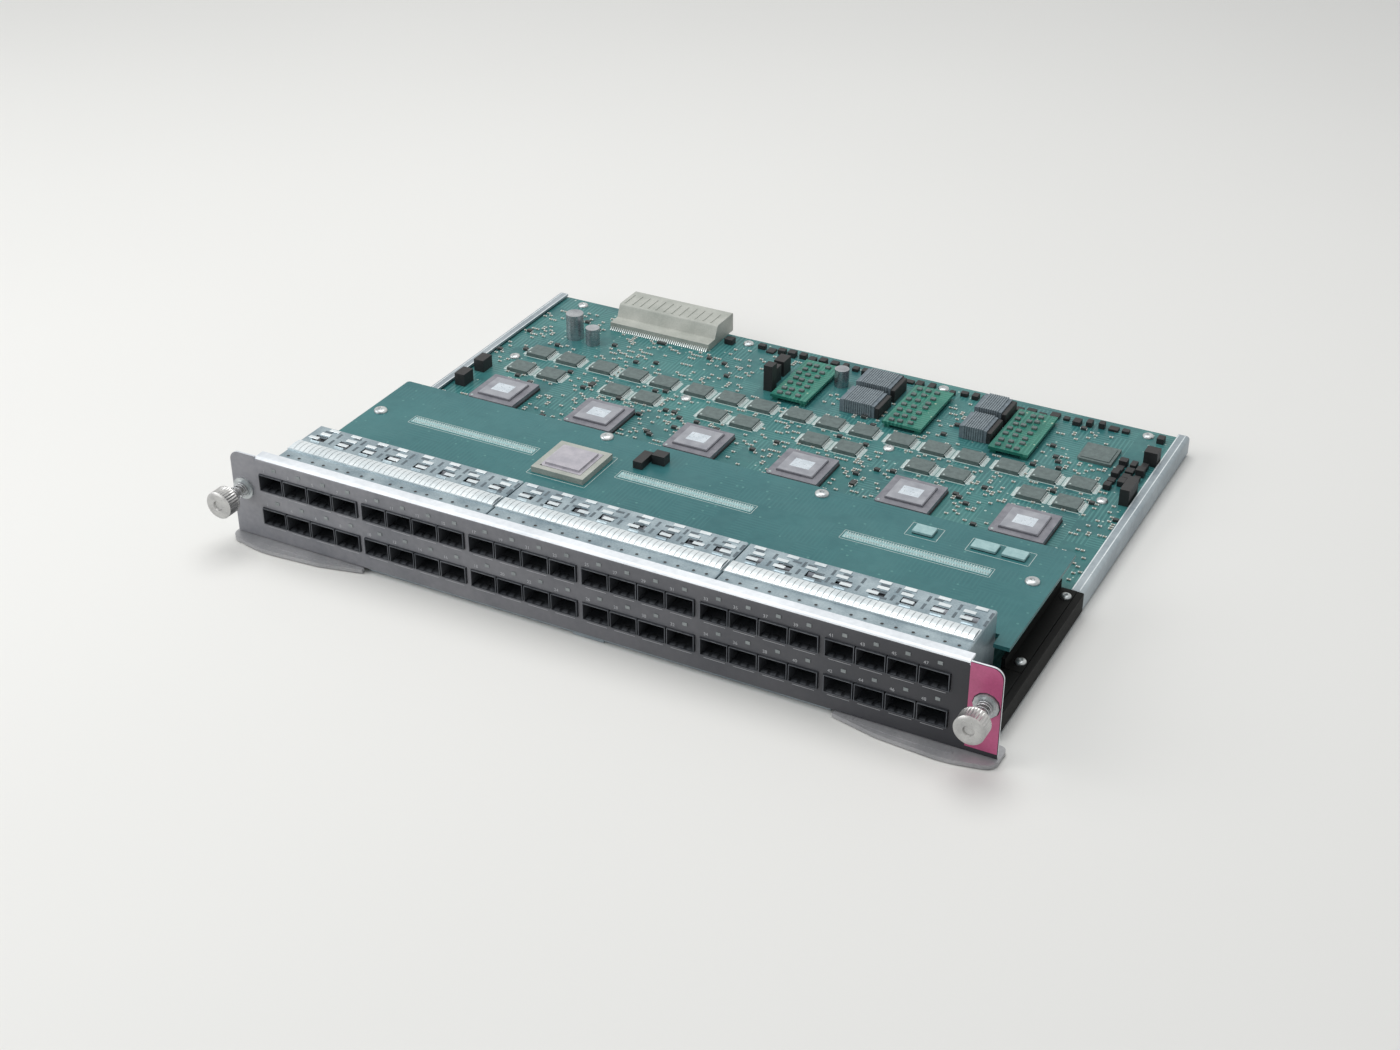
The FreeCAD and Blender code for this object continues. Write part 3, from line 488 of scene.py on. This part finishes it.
DRESSED = {
    PANEL: ("faceplate",), LABEL: ("end_label",), TRAY: ("carrier_tray",), MAIN: ("main_board",),
    DECK: ("mezzanine_board",), STRIP_AND_GLINTS: ("shield_strips",), BRACKET_AND_GAP_SHADE: ("side_bracket",),
    BRASS: ("mezzanine_standoffs", "tray_standoffs"), MOULD: ("small_chips", "control_chip"),
    SCREW: ("board_screws", "mezzanine_screws", "bracket_screws", "screw_retainer_left",
            "screw_retainer_right", "ejector_pivots", "screw_ferrule_left", "screw_ferrule_right"),
    KNOB: ("captive_screw_left", "captive_screw_right"),
    SPRING: ("screw_spring_left", "screw_spring_right"), LEVER: ("ejector_left", "ejector_right"),
    LENS: ("light_pipes_upper", "light_pipes_lower"), CREAM: ("processor_socket", "backplane_connector"),
    CERAMIC: ("processor_chip",), FERRITE: ("power_inductors",), CAN: ("capacitors",),
    POWER: numbered("power_board", 3), PACKAGE: numbered("phy_chip", 6), CAGE: numbered("port_cage", 3),
    SHADED_STEEL: numbered("cage_partitions", 3) + numbered("cage_separators", 3),
    BLACK_AND_SHADE: numbered("port_connectors", 3) + numbered("stack_connector", 3)
    + ("edge_blocks", "filter_block", "deck_parts"),
}
for material, names in DRESSED.items():
    for name in names:
        for holder in nodes[name].material_slots:
            holder.material = material
undressed = sorted(set(nodes) - {name for names in DRESSED.values() for name in names})
assert not undressed, undressed

# ------------------------------------------------------------------ shared places, in millimetres

ACROSS = (1, 0, 0)
BOARD_TOP = corners_mm("main_board")[1][2]
DECK_TOP = corners_mm("mezzanine_board")[1][2]
CAGE_TOP = corners_mm("port_cage_1")[1][2]
PANEL_FRONT = -2.4
GROUP_PITCH, PORT_PITCH, PORTS_MID = 59.2, 14.25, -2.9
PIN_PITCH = 1.27
GROUPS = PORTS_MID + GROUP_PITCH * (np.arange(6) - 2.5)
COLUMNS = (GROUPS[:, None] + PORT_PITCH * (np.arange(4) - 1.5)).ravel()
ROWS = (15.5, 34.0)
PORTS = np.array([(x, 0.0, z) for z in ROWS for x in COLUMNS])
BOARD_SCREW_X, BOARD_SCREW_Y = (-170, -62, 56, 170), (136, 208.4, 283)
# Centres of the small chips: two or three to a row behind each port group.
CHIPS = np.array([(middle + shift, y, BOARD_TOP) for group, middle in enumerate(GROUPS)
                  for y, shifts in ((198.0, (-8, 11)), (218.6, (-8, 11, 32)))
                  for shift in (shifts[:2] if group == 5 else shifts)])
# Middles of the tall parts that share a node with others on the main board.
TALL_PARTS = [(-153, 245.6), (-140, 243), (5, 262), (26, 243.5), (26, 264.5), (90.5, 245.5),
              (90.5, 266.5), (180.5, 216.5), (180, 256.5), (-30, 248.5), (-30, 260.5),
              (-178, 169.5), (-178, 188.5)]
# How far the small parts stay from the middle of a chip, a screw and a tall part.
CHIP_REACH, SCREW_REACH, TALL_REACH = (9.4, 6.6), (4.6, 4.6), (11.0, 9.5)
# Nodes below the board's parts, and nodes of many parts whose box spans the board.
NO_SINGLE_BOX = ("main_board", "carrier_tray", "tray_standoffs", "small_chips", "capacitors",
                 "power_inductors", "edge_blocks", "board_screws")


def grid_places(xs, ys, z):
    """Every pairing of the given x and y, at one height."""
    x, y = np.meshgrid(xs, ys, indexing="ij")
    return spread(x.ravel(), y.ravel(), float(z))


def blocks_at(places, sizes, bevel):
    """Soft blocks standing on the given places: one size for all, or one for each."""
    sizes = np.asarray(sizes, float)
    return soft_blocks(places - sizes * (0.5, 0.5, 0), places + sizes * (0.5, 0.5, 1), bevel)


def slabs(outlines, bottom, top, bevel):
    """Soft blocks over outlines (left, front, right, back), between two heights."""
    left, front, right, back = np.array(outlines, float).T
    return soft_blocks(spread(left, front, bottom), spread(right, back, top), bevel)


def discs(places, radius, crown, sides=10):
    """Thin dots, a little higher within the crown's radius."""
    return lathes(places, [(radius, 0), (radius, 0.03), (crown, 0.04)], sides)


def drawn_sizes(count, *ranges):
    """Random sizes for a number of parts, drawn one axis after the other."""
    return np.stack([rng.uniform(least, most, count) for least, most in ranges], axis=-1)


# ------------------------------------------------------------------ panel and ports

def dress_ports():
    """Steel collars, spring tongues on the roof and floor of each mouth, and contact rows."""
    width, height, wall, front, back = 13.5, 8.7, 0.3, -3.5, 12.0
    # Painted shade: the collars and tongues take the darker steel, for the shade in the port mouths.
    piece("port_collars", collars(PORTS, width, height, wall, front, back), SHADED_STEEL)
    share = np.linspace(0, 1, 6)
    tongues = []
    for shift in (-4.2, 0.0, 4.2):
        for up in (-1, 1):
            root = PORTS + (shift, 0, up * height / 2)
            bow = spread(0, -3.4 + 5 * share, -up * 0.75 * np.sin(np.pi * share))
            tongues.append(carried(root[:, None] + bow, ACROSS, 2.6, 0.12))
    piece("port_spring_tongues", together(*tongues), SHADED_STEEL, smooth=40)
    contacts, reach, depth = 10, 4.4, 39.6
    roots = PORTS[:, None] + spread(np.linspace(-reach, reach, contacts), depth, -0.6)
    run = roots.reshape(-1, 1, 3) + np.array([[0, 0, 0], [0, -6.0, 0.5], [0, -7.0, 1.0]])
    piece("port_contacts", carried(run, ACROSS, 0.45, 0.2), GOLD)


def number_port(number, x, z):
    """One plain number, made flat and then stood up on the panel's front."""
    text = bpy.data.curves.new("port_number", "FONT")
    text.body = str(number)
    text.size = 2.3 * MM
    text.extrude = 0.03 * MM
    text.align_x, text.align_y = "CENTER", "CENTER"
    words = bpy.data.objects.new("port_number_source", text)
    bpy.context.scene.collection.objects.link(words)
    bpy.context.view_layer.update()
    flat = bpy.data.meshes.new_from_object(words)
    bpy.data.objects.remove(words)
    raw = np.zeros(len(flat.vertices) * 3)
    flat.vertices.foreach_get("co", raw)
    right, up, out = raw.reshape(-1, 3).T
    stood = spread(right, -out, up) + np.array((x, PANEL_FRONT, z)) * MM
    flat.vertices.foreach_set("co", stood.ravel())
    flat.materials.append(PANEL_INK)
    made = bpy.data.objects.new("port_number_%d" % number, flat)
    bpy.context.scene.collection.objects.link(made)
    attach(made, "card")


def dress_panel():
    """A pale rule under each port, and its number above."""
    marks = np.concatenate([spread(COLUMNS, PANEL_FRONT, z) for z in (28.1, 9.6)])
    rules = soft_blocks(marks - (5.2, 0.06, 0.12), marks + (5.2, 0.0, 0.12), 0.02)
    piece("panel_rules", rules, PANEL_INK)
    shift, low, high = -4.2, 22.0, 40.2
    for number in range(48):
        column, lower = divmod(number, 2)
        number_port(number + 1, COLUMNS[column] + shift, low if lower else high)


def dress_flange():
    """A row of bowed contact fingers on each gasket strip."""
    pitch, long, bowed, start, level = 2.9, 8.8, 0.75, 20.9, 41.0
    share = np.linspace(0, 1, 7)
    bow = spread(0, long * share, bowed * np.sin(np.pi * share))
    fingers = []
    for name in numbered("port_cage", 3):
        low, high = corners_mm(name)
        starts = spread(np.arange(low[0] + 2.4, high[0] - 1.6, pitch), start, level)
        fingers.append(carried(starts[:, None] + bow, ACROSS, 2.65, 0.12))
    piece("gasket_fingers", together(*fingers), STRIP_AND_GLINTS, smooth=60)


def dress_cages():
    """Lanced slots and notches drawn as flat patches of painted shade, between raised tongues whose
    bright strip finish is a painted glint, behind the gasket strip; a spring plate bowed down into
    every roof window, in steel darkened as painted shade; a bent tab over every port; and rimmed
    vent holes in front, each filled by a black disc of painted shade."""
    plain_from = 150
    slots = grid_places(COLUMNS, [33.4, 38.4, 43.4], CAGE_TOP)
    slots[:, 0] += rng.uniform(-3.6, 3.6, len(slots))
    slots[:, 1] += rng.uniform(-0.9, 0.9, len(slots))
    slots = slots[slots[:, 0] < plain_from]
    # Painted shade: each slot is a flat dark patch on the roof, for the shade inside it.
    piece("cage_slot_shade", blocks_at(slots, (4.2, 1.6, 0.05), 0.02), SHADED)
    tongues = grid_places(COLUMNS, [35.8, 40.8, 45.4], CAGE_TOP)
    tongues[:, 0] += rng.uniform(-3.0, 3.0, len(tongues))
    # Painted glint: the tongues take the brighter strip finish, for the light they catch.
    piece("cage_tongue_glints", blocks_at(tongues, (5.6, 2.2, 0.45), 0.16), STRIP_AND_GLINTS)
    notches = grid_places(COLUMNS + PORT_PITCH / 2, [36.0, 42.6], CAGE_TOP)
    # Painted shade likewise for the notches between the columns.
    piece("cage_notch_shade", blocks_at(notches, (1.3, 4.6, 0.05), 0.02), SHADED)
    share = np.linspace(0, 1, 5)
    dip = spread(0, 4.7 * share, -0.5 - 0.7 * np.sin(np.pi * share))
    roots = grid_places(COLUMNS, [34.15], CAGE_TOP)
    # Painted shade: the window springs take the darker steel, for the shade under the roof.
    piece("cage_window_springs", carried(roots[:, None] + dip, ACROSS, 6.6, 0.15), SHADED_STEEL, smooth=60)
    bend = spread(0, 1.4 * share, 0.8 * share ** 2)
    roots = grid_places(COLUMNS, [31.2], CAGE_TOP + 0.06)
    piece("cage_latch_tabs", carried(roots[:, None] + bend, ACROSS, 5.2, 0.15), CAGE, smooth=40)
    vents = grid_places(COLUMNS, [8.5, 12.0, 15.5], CAGE_TOP)
    vents = np.concatenate([vents - (3.2, 0, 0), vents + (3.2, 0, 0)])
    rim = [(0.8, 0), (1.15, 0), (1.15, 0.1), (0.8, 0.1)]
    piece("cage_eyelets", lathes(vents, rim, 10, hollow=True), CAGE)
    # Painted shade: a black disc fills each vent hole, for the dark inside the cage.
    piece("cage_vent_shade", discs(vents, 0.82, 0.4), BLACK_AND_SHADE)


# ------------------------------------------------------------------ boards

def dress_deck():
    """Connector pin tails on pale lands, legend frames, and caps on the three low parts."""
    tails, frames = [], []
    for name in numbered("stack_connector", 3):
        low, high = corners_mm(name)
        xs = np.arange(low[0] + 1.0, high[0], PIN_PITCH)
        tails.append(grid_places(xs, [91.0, 94.2], DECK_TOP))
        frames.append((low[0] - 1.5, 88.6, high[0] + 1.5, 96.6))
    dome = [(0.62, 0.0), (0.55, 0.25), (0.3, 0.5), (0.24, 0.95), (0.1, 1.05)]
    piece("connector_pin_tails", lathes(np.concatenate(tails), dome, 8), SOLDER, smooth=50)
    lands = [(left + 1, 90.0, right - 1, 95.2) for left, _, right, _ in frames]
    piece("connector_lands", slabs(lands, DECK_TOP, DECK_TOP + 0.06, 0.02), LAND)
    frames += [(107, 105.5, 123, 117.5), (137, 105.5, 168, 117.5), (-78, 72.9, -45, 105.9)]
    line = 0.3
    bars = [bar for left, front, right, back in frames
            for bar in ((left, front, right, front + line), (left, back - line, right, back),
                        (left, front, left + line, back), (right - line, front, right, back))]
    caps = np.array([(110, 108, 120, 115), (139, 108, 151, 115), (154, 108, 165, 115)])
    caps = caps + (-0.1, -0.1, 0.1, 0.1)
    piece("deck_part_caps", slabs(caps, DECK_TOP + 0.3, DECK_TOP + 1.7, 0.2), LAND)
    piece("deck_legend_frames", slabs(bars, DECK_TOP, DECK_TOP + 0.04, 0.01), PALE_INK)


def clear_of(places, margin):
    """Drops the places that fall on, or within a margin of, any part standing on the board."""
    keep = np.ones(len(places), bool)
    for name in nodes:
        if name in NO_SINGLE_BOX:
            continue
        low, high = corners_mm(name)
        keep &= ~np.all((places[:, :2] > low[:2] - margin) & (places[:, :2] < high[:2] + margin), axis=1)
    screws = [(x, y) for x in BOARD_SCREW_X for y in BOARD_SCREW_Y]
    for middles, reach in ((CHIPS[:, :2], CHIP_REACH), (screws, SCREW_REACH), (TALL_PARTS, TALL_REACH)):
        for middle in middles:
            keep &= ~np.all(np.abs(places[:, :2] - middle) < reach, axis=1)
    return places[keep]


def dress_small_chips():
    """Gull-wing leads down two sides, a solder land under each row, an outline and a dot."""
    leads, reach = 8, 4.45
    out = np.array([0.0, 0.5, 0.75, 1.05, 1.7])
    drop = np.array([1.0, 0.95, 0.3, 0.12, 0.1])
    wings = []
    for side in (-1, 1):
        roots = CHIPS[:, None] + spread(side * 6.3, np.linspace(-reach, reach, leads), 0)
        bend = spread(side * out, 0, drop)
        wings.append(carried(roots.reshape(-1, 1, 3) + bend, (0, side, 0), 0.72, 0.2))
    piece("small_chip_leads", together(*wings), TIN)
    lands = np.concatenate([CHIPS + (side * 7.9, 0, 0) for side in (-1, 1)])
    piece("small_chip_lands", blocks_at(lands, (1.5, 10.2, 0.05), 0.01), SOLDER)
    rules = [blocks_at(CHIPS + shift, size, 0.01) for shift, size in (
        ((0, 6.2, 0), (15.0, 0.6, 0.04)), ((0, -6.2, 0), (15.0, 0.6, 0.04)),
        ((9.0, 0, 0), (0.6, 9.4, 0.04)), ((-9.0, 0, 0), (0.6, 9.4, 0.04)))]
    piece("small_chip_outlines", together(*rules), PALE_INK)
    piece("small_chip_dots", discs(CHIPS + (-4.8, -4.0, 2.0), 0.55, 0.3), PALE_INK)


def dress_large_chips():
    """A bevelled cap with a painted highlight, a bright patch, on each lid; a dark skirt, partly the
    package's black base and partly painted shadow round its foot; and a pin-one dot. Returns
    the places for a row of capacitors in front of each chip and behind it."""
    cap_half, skirt_and_shadow, dot_in = 9.6, 0.35, 1.8
    low, high = np.swapaxes([corners_mm(name) for name in numbered("phy_chip", 6)], 0, 1)
    middle = (low + high) / 2
    cap_low = spread(middle[:, 0] - cap_half, middle[:, 1] - cap_half, high[:, 2])
    cap_high = spread(middle[:, 0] + cap_half, middle[:, 1] + cap_half, high[:, 2] + 0.25)
    piece("large_chip_caps", soft_blocks(cap_low, cap_high, 0.12), LID)
    # Painted highlight: a bright patch in the middle of each lid, for the reflection there.
    highlight_low, highlight_high = cap_low + (4.2, 5.4, 0.25), cap_high + (-4.2, -5.4, 0.03)
    piece("large_chip_highlights", soft_blocks(highlight_low, highlight_high, 0.01), PAINTED_HIGHLIGHT)
    # The dark skirt is partly the package's black base and partly painted shadow round the chip's foot.
    skirt_and_shadow_top = spread(high[:, 0] + skirt_and_shadow, high[:, 1] + skirt_and_shadow, BOARD_TOP + 1.1)
    piece("large_chip_skirts_and_shadows", soft_blocks(low - (skirt_and_shadow, skirt_and_shadow, 0), skirt_and_shadow_top, 0.1), BLACK_AND_SHADE)
    dots = spread(low[:, 0] + dot_in, low[:, 1] + dot_in, BOARD_TOP + 3.2)
    piece("large_chip_dots", discs(dots, 0.7, 0.4, 12), PALE_INK)
    line = np.arange(-11, 12, 2.75)
    rows = [spread(x + line, y + side * 16.0, BOARD_TOP) for x, y, _ in middle for side in (-1, 1)]
    return clear_of(np.concatenate(rows), 0.8)


def dress_passives(near_chips):
    """Strewn ceramic and tantalum parts: a body with a tinned cap on either end."""
    tries, step, ceramics, tantalums = 2600, (2.6, 2.1, 1), 760, 80
    field = spread(rng.uniform(-183, 183, tries), rng.uniform(130, 286, tries), BOARD_TOP)
    field = np.round(field / step) * step
    field[:, 2] = BOARD_TOP
    field = clear_of(np.unique(field, axis=0), 2.2)
    in_corner = (field[:, 0] > 163.5) & (field[:, 1] > 217)
    field = field[(field[:, 1] < 275.5) & ~in_corner]
    field = field[rng.permutation(len(field))]
    small = np.concatenate([field[:ceramics], near_chips])
    big = field[ceramics:ceramics + tantalums]
    for kind, places, body, bevel, material, reach, end in (
            ("ceramic", small, (1.3, 1.0, 0.75), 0.06, TAN, 0.8, (0.5, 1.1, 0.8)),
            ("tantalum", big, (3.0, 2.0, 1.6), 0.18, DARK_PART, 1.6, (0.5, 1.5, 0.9))):
        piece(kind + "_bodies", blocks_at(places, body, bevel), material)
        ends = np.concatenate([places - (reach, 0, 0), places + (reach, 0, 0)])
        piece(kind + "_ends", blocks_at(ends, end, 0.08), TIN)


def dress_board_screws():
    """Domed heads with a round recess in place of the plain ones."""
    dome = np.array([(3.0, 0.0), (3.0, 0.5), (2.7, 1.1), (2.0, 1.5), (1.0, 1.6), (0.7, 0.9)])
    on_deck = spread((-176.8, -60.4, 58.4, 174.0), (92.1, 121.6, 120.6, 94.1), DECK_TOP)
    on_bracket = spread(184.0, (56.0, 114.6), BOARD_TOP + 2.4)
    for name, places, radius, tall in (
            ("board_screws", grid_places(BOARD_SCREW_X, BOARD_SCREW_Y, BOARD_TOP), 3.0, 1.6),
            ("mezzanine_screws", on_deck, 3.5, 1.8), ("bracket_screws", on_bracket, 2.6, 1.5)):
        shaped = dome * (radius / 3.0, tall / 1.6)
        piece(name + "_heads", lathes(places, shaped, 28), SCREW, smooth=40, stands_for=(name,))


def dress_power():
    """Windings round the ferrite, a dark cheek beside it, and small parts on the converters."""
    turns, cheeks, core_long, wire_pitch = [], [], 17, 1.25
    cores = ((16, 20, 235, 7), (16, 20, 256, 8), (83, 15, 237, 7), (83, 15, 258, 8))
    for left, width, front, tall in cores:
        across = np.arange(left + 2.5, left + width - 2, wire_pitch)
        loop_y = front + np.array([-0.3, -0.3, core_long + 0.3, core_long + 0.3])
        loop_z = BOARD_TOP + np.array([0.2, tall + 0.3, tall + 0.3, 0.2])
        turns.append(carried(spread(across[:, None], loop_y, loop_z), ACROSS, 0.9, 0.5))
        right = left + width
        cheeks.append(soft_blocks((right + 0.1, front, BOARD_TOP),
                                  (right + 2.6, front + core_long, BOARD_TOP + tall - 0.6), 0.25))
    piece("inductor_windings", together(*turns), WINDING)
    piece("inductor_cheeks", together(*cheeks), BLACK_AND_SHADE)
    parts = []
    for name in numbered("power_board", 3):
        low, high = corners_mm(name)
        places = grid_places(np.arange(low[0] + 4, high[0] - 3, 5.2), np.arange(232, 273, 6.3), high[2])
        places[:, :2] += rng.uniform(-0.8, 0.8, (len(places), 2))
        parts.append(blocks_at(places, (2.8, 2.2, 1.2), 0.15))
    piece("converter_parts", together(*parts), MOULD)


def dress_tray():
    """A painted highlight, a bright strip, on the rolled edge at the inner and outer border of both
    card-guide rails.
    """
    start, length, level = 123, 166, 11.04
    run = start + length * np.linspace(0, 1, 9)
    # Painted highlight: bright strips along the rails' rolled edges, where they catch the light.
    glints = [carried(spread(x, run, level), ACROSS, 0.6, 0.16) for x in (-187.8, -184.4, 184.4, 187.8)]
    piece("rail_edge_highlights", together(*glints), STRIP_AND_GLINTS)


def dress_right_corner():
    """The black guide's moulding carried on to the panel, and over the tray's wall beside it: partly a
    black part, partly painted shade of the deep gap between the deck and the tray's wall.
    """
    low, high = corners_mm("side_bracket")
    # Painted shade: the second block lies over the tray's steel wall, for the shade in the gap.
    lows = [(low[0], 15.0, BOARD_TOP), (high[0] + 0.1, 14.4, 1.4)]
    highs = [(high[0], low[1] - 0.05, BOARD_TOP + 2.4), (190.4, high[1], 11.4)]
    piece("guide_sleeve_and_gap_shade", soft_blocks(lows, highs, 0.3), BRACKET_AND_GAP_SHADE)


def dress_levers():
    """A raised rib along each ejector lever and a ribbed thumb rest near its free end."""
    rib_start, rib_run, rest_start, rest_pitch = 136, 42, 128, 1.7
    share = np.linspace(0, 1, 14)
    for side, sign in (("left", -1), ("right", 1)):
        rib = spread(sign * (rib_start + rib_run * share), -5.4 - 1.6 * np.sin(np.pi * share * 0.8), 2.39)
        ribs = [carried(rib, (0, 1, 0), 1.4, 0.2)]
        for step in range(5):
            bar = spread(sign * (rest_start + rest_pitch * step), (-3.2, -4.9), 2.38)
            ribs.append(carried(bar, ACROSS, 0.7, 0.18))
        piece("lever_ribs_" + side, together(*ribs), LEVER, "ejector_%s_lever" % side)


def dress_back_edge():
    """Dark moulded parts in a ragged row along the back edge, thicker in the right corner."""
    back, screw_room = 280.6, 5.5
    row = spread(np.arange(-72, 184, 6.4), back, BOARD_TOP)
    row[:, 1] += rng.uniform(-1.6, 1.6, len(row))
    row = row[np.min(np.abs(row[:, :1] - BOARD_SCREW_X[1:]), axis=1) > screw_room]
    sizes = drawn_sizes(len(row), (3.0, 5.2), (3.0, 5.6), (1.2, 3.4))
    piece("back_edge_parts", blocks_at(row, sizes, 0.2), BLACK_AND_SHADE)
    corner = grid_places(np.arange(168, 184, 5.4), np.arange(222, 250, 6.6), BOARD_TOP)
    sizes = drawn_sizes(len(corner), (3.0, 4.4), (3.6, 5.4), (2.0, 4.6))
    clear = (corner[:, 0] < 172) | (corner[:, 1] > 227)
    piece("corner_parts", blocks_at(corner[clear], sizes[clear], 0.2), BLACK_AND_SHADE)


def dress_backplane_plug():
    """Ribs on the housing's roof, solder tails in front, and three contacts over one another
    in every cavity."""
    low, high = corners_mm("backplane_connector")
    cavities, pitch, mouth = 12, 5.05, 287.0
    xs = low[0] + 2.2 + pitch * np.arange(cavities + 1)
    xs = xs[xs < high[0] - 0.5]
    piece("plug_ribs", blocks_at(spread(xs, 283.5, high[2]), (0.7, 12.0, 0.35), 0.1), CREAM)
    foot = spread(np.arange(low[0] + 1.2, high[0] - 0.6, PIN_PITCH), 264.7, BOARD_TOP + 1.6)
    tail = np.array([[0, 0, 0], [0, -0.9, -0.1], [0, -1.3, -0.9], [0, -2.2, -1.45]])
    piece("plug_solder_tails", carried(foot[:, None] + tail, ACROSS, 0.6, 0.25), TIN)
    middles = low[0] + 3.7 + pitch * np.arange(cavities)
    pins = np.concatenate([grid_places(middles, [mouth], BOARD_TOP + z) for z in (3.4, 6.0, 8.4)])
    run = pins[:, None] + np.array([[0, 0, 0], [0, 6.5, 0]])
    piece("plug_contacts", carried(run, ACROSS, 0.7, 0.5), GOLD)


# ------------------------------------------------------------------ screws and springs

def dress_captive_screws():
    """Knurled grip, bevelled front with a round recess, waisted shank and threaded tip, all one
    turning; and a wound spring behind the grip."""
    thread_pitch, flutes, out, level, spring_end = 0.8, 30, 189.5, 28.0, -4.5
    shank = [(1.15, -4.0), (1.6, -3.6)] + [(1.75, z) for z in np.arange(-3.4, 0.3, 0.12)]
    grip = [(1.75, 0.34), (1.25, 0.35), (1.25, 1.25), (2.0, 1.26), (2.0, 14.4), (6.6, 14.4),
            (7.0, 14.8), (7.0, 15.2), (7.0, 15.4), (7.0, 18.0), (7.0, 21.4), (7.0, 21.7),
            (6.6, 22.1), (5.2, 22.4), (2.6, 22.4), (2.2, 21.4), (0.8, 21.2)]

    def ripple(angle, height):
        knurled, threaded = (height > 15.2) & (height < 21.6), height < 0.0
        knurl = 1 - 0.045 * (0.5 + 0.5 * np.cos(flutes * angle)) * knurled
        turned = angle - 2 * np.pi * height / thread_pitch
        return knurl * (1 - 0.07 * (0.5 + 0.5 * np.cos(turned)) * threaded)

    screw = lathes((0, 0, 0), shank + grip, 120, ripple=ripple)
    wound = coil(radius=3.2, wire=0.6, turns=5, length=9.8)
    for side, x in (("left", -out), ("right", out)):
        piece("grip_screw_" + side, facing_front(screw, (x, 0, level)), KNOB, "screw_" + side,
              smooth=38, stands_for=("captive_screw_" + side,))
        made = piece("grip_spring_" + side, facing_front(wound, (x, spring_end, level)), SPRING,
                     smooth=60, stands_for=("screw_spring_" + side,))
        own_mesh(made)


# ------------------------------------------------------------------ room, lamps and camera

def set_room():
    """Pale floor with a soft shadow, pale surround, three soft lamps, and the camera."""
    half, level, aim = 6, -0.0002, Vector((0, 0.14, 0.02))
    ground = bpy.data.meshes.new("floor")
    ground.from_pydata([(-half, -half, level), (half, -half, level), (half, half, level),
                        (-half, half, level)], [], [(0, 1, 2, 3)])
    pale = bpy.data.materials.new("pale floor")
    pale.use_nodes = True
    b = Bench(pale.node_tree)
    shader = pale.node_tree.nodes["Principled BSDF"]
    mottle = b.node("ShaderNodeTexNoise", Vector=b.place(), Scale=3.0, Detail=1.0).outputs[0]
    b.feed(shader.inputs["Base Color"], b.blend(mottle, tone(236, 235, 231), tone(232, 231, 227)))
    shader.inputs["Roughness"].default_value = 0.9
    ground.materials.append(pale)
    floor = bpy.data.objects.new("floor", ground)
    bpy.context.scene.collection.objects.link(floor)

    world = bpy.data.worlds.new("soft surround")
    bpy.context.scene.world = world
    world.use_nodes = True
    w = Bench(world.node_tree)
    world.node_tree.nodes.clear()
    rays = w.node("ShaderNodeLightPath").outputs
    seen = w.maths("MAXIMUM", rays["Is Camera Ray"],
                   w.maths("MAXIMUM", rays["Is Glossy Ray"], rays["Is Transmission Ray"]))
    soft = w.node("ShaderNodeBackground", Color=(0.9, 0.93, 0.97, 1.0), Strength=0.37)
    shown = w.node("ShaderNodeBackground", Color=tone(244, 243, 240), Strength=1.0)
    both = w.node("ShaderNodeMixShader", Fac=seen)
    w.feed(both.inputs[1], soft.outputs[0])
    w.feed(both.inputs[2], shown.outputs[0])
    w.node("ShaderNodeOutputWorld", Surface=both.outputs[0])

    for name, place, size, power in (("overhead", (-0.15, 0.25, 1.5), 1.4, 15.0),
                                     ("left side", (-1.3, -0.5, 0.8), 1.1, 7.2),
                                     ("front fill", (-0.8, -1.0, 0.42), 0.9, 2.3)):
        lamp = bpy.data.lights.new(name, "AREA")
        lamp.shape, lamp.size, lamp.energy = "DISK", size, power
        made = bpy.data.objects.new(name, lamp)
        made.location = place
        made.rotation_euler = (aim - Vector(place)).to_track_quat("-Z", "Y").to_euler()
        bpy.context.scene.collection.objects.link(made)

    eye = bpy.data.cameras.new("viewpoint")
    eye.lens, eye.sensor_width = 53.92, 36.0
    camera = bpy.data.objects.new("viewpoint", eye)
    camera.location = (0.4094, -0.6701, 0.5333)
    camera.rotation_euler = Vector((-0.3989, 0.7569, -0.5177)).to_track_quat("-Z", "Y").to_euler()
    bpy.context.scene.collection.objects.link(camera)
    bpy.context.scene.camera = camera
    bpy.context.scene.view_settings.view_transform = "Standard"


dress_ports()
dress_panel()
dress_flange()
dress_cages()
dress_deck()
dress_small_chips()
dress_passives(dress_large_chips())
dress_board_screws()
dress_power()
dress_tray()
dress_right_corner()
dress_levers()
dress_back_edge()
dress_backplane_plug()
dress_captive_screws()
set_room()
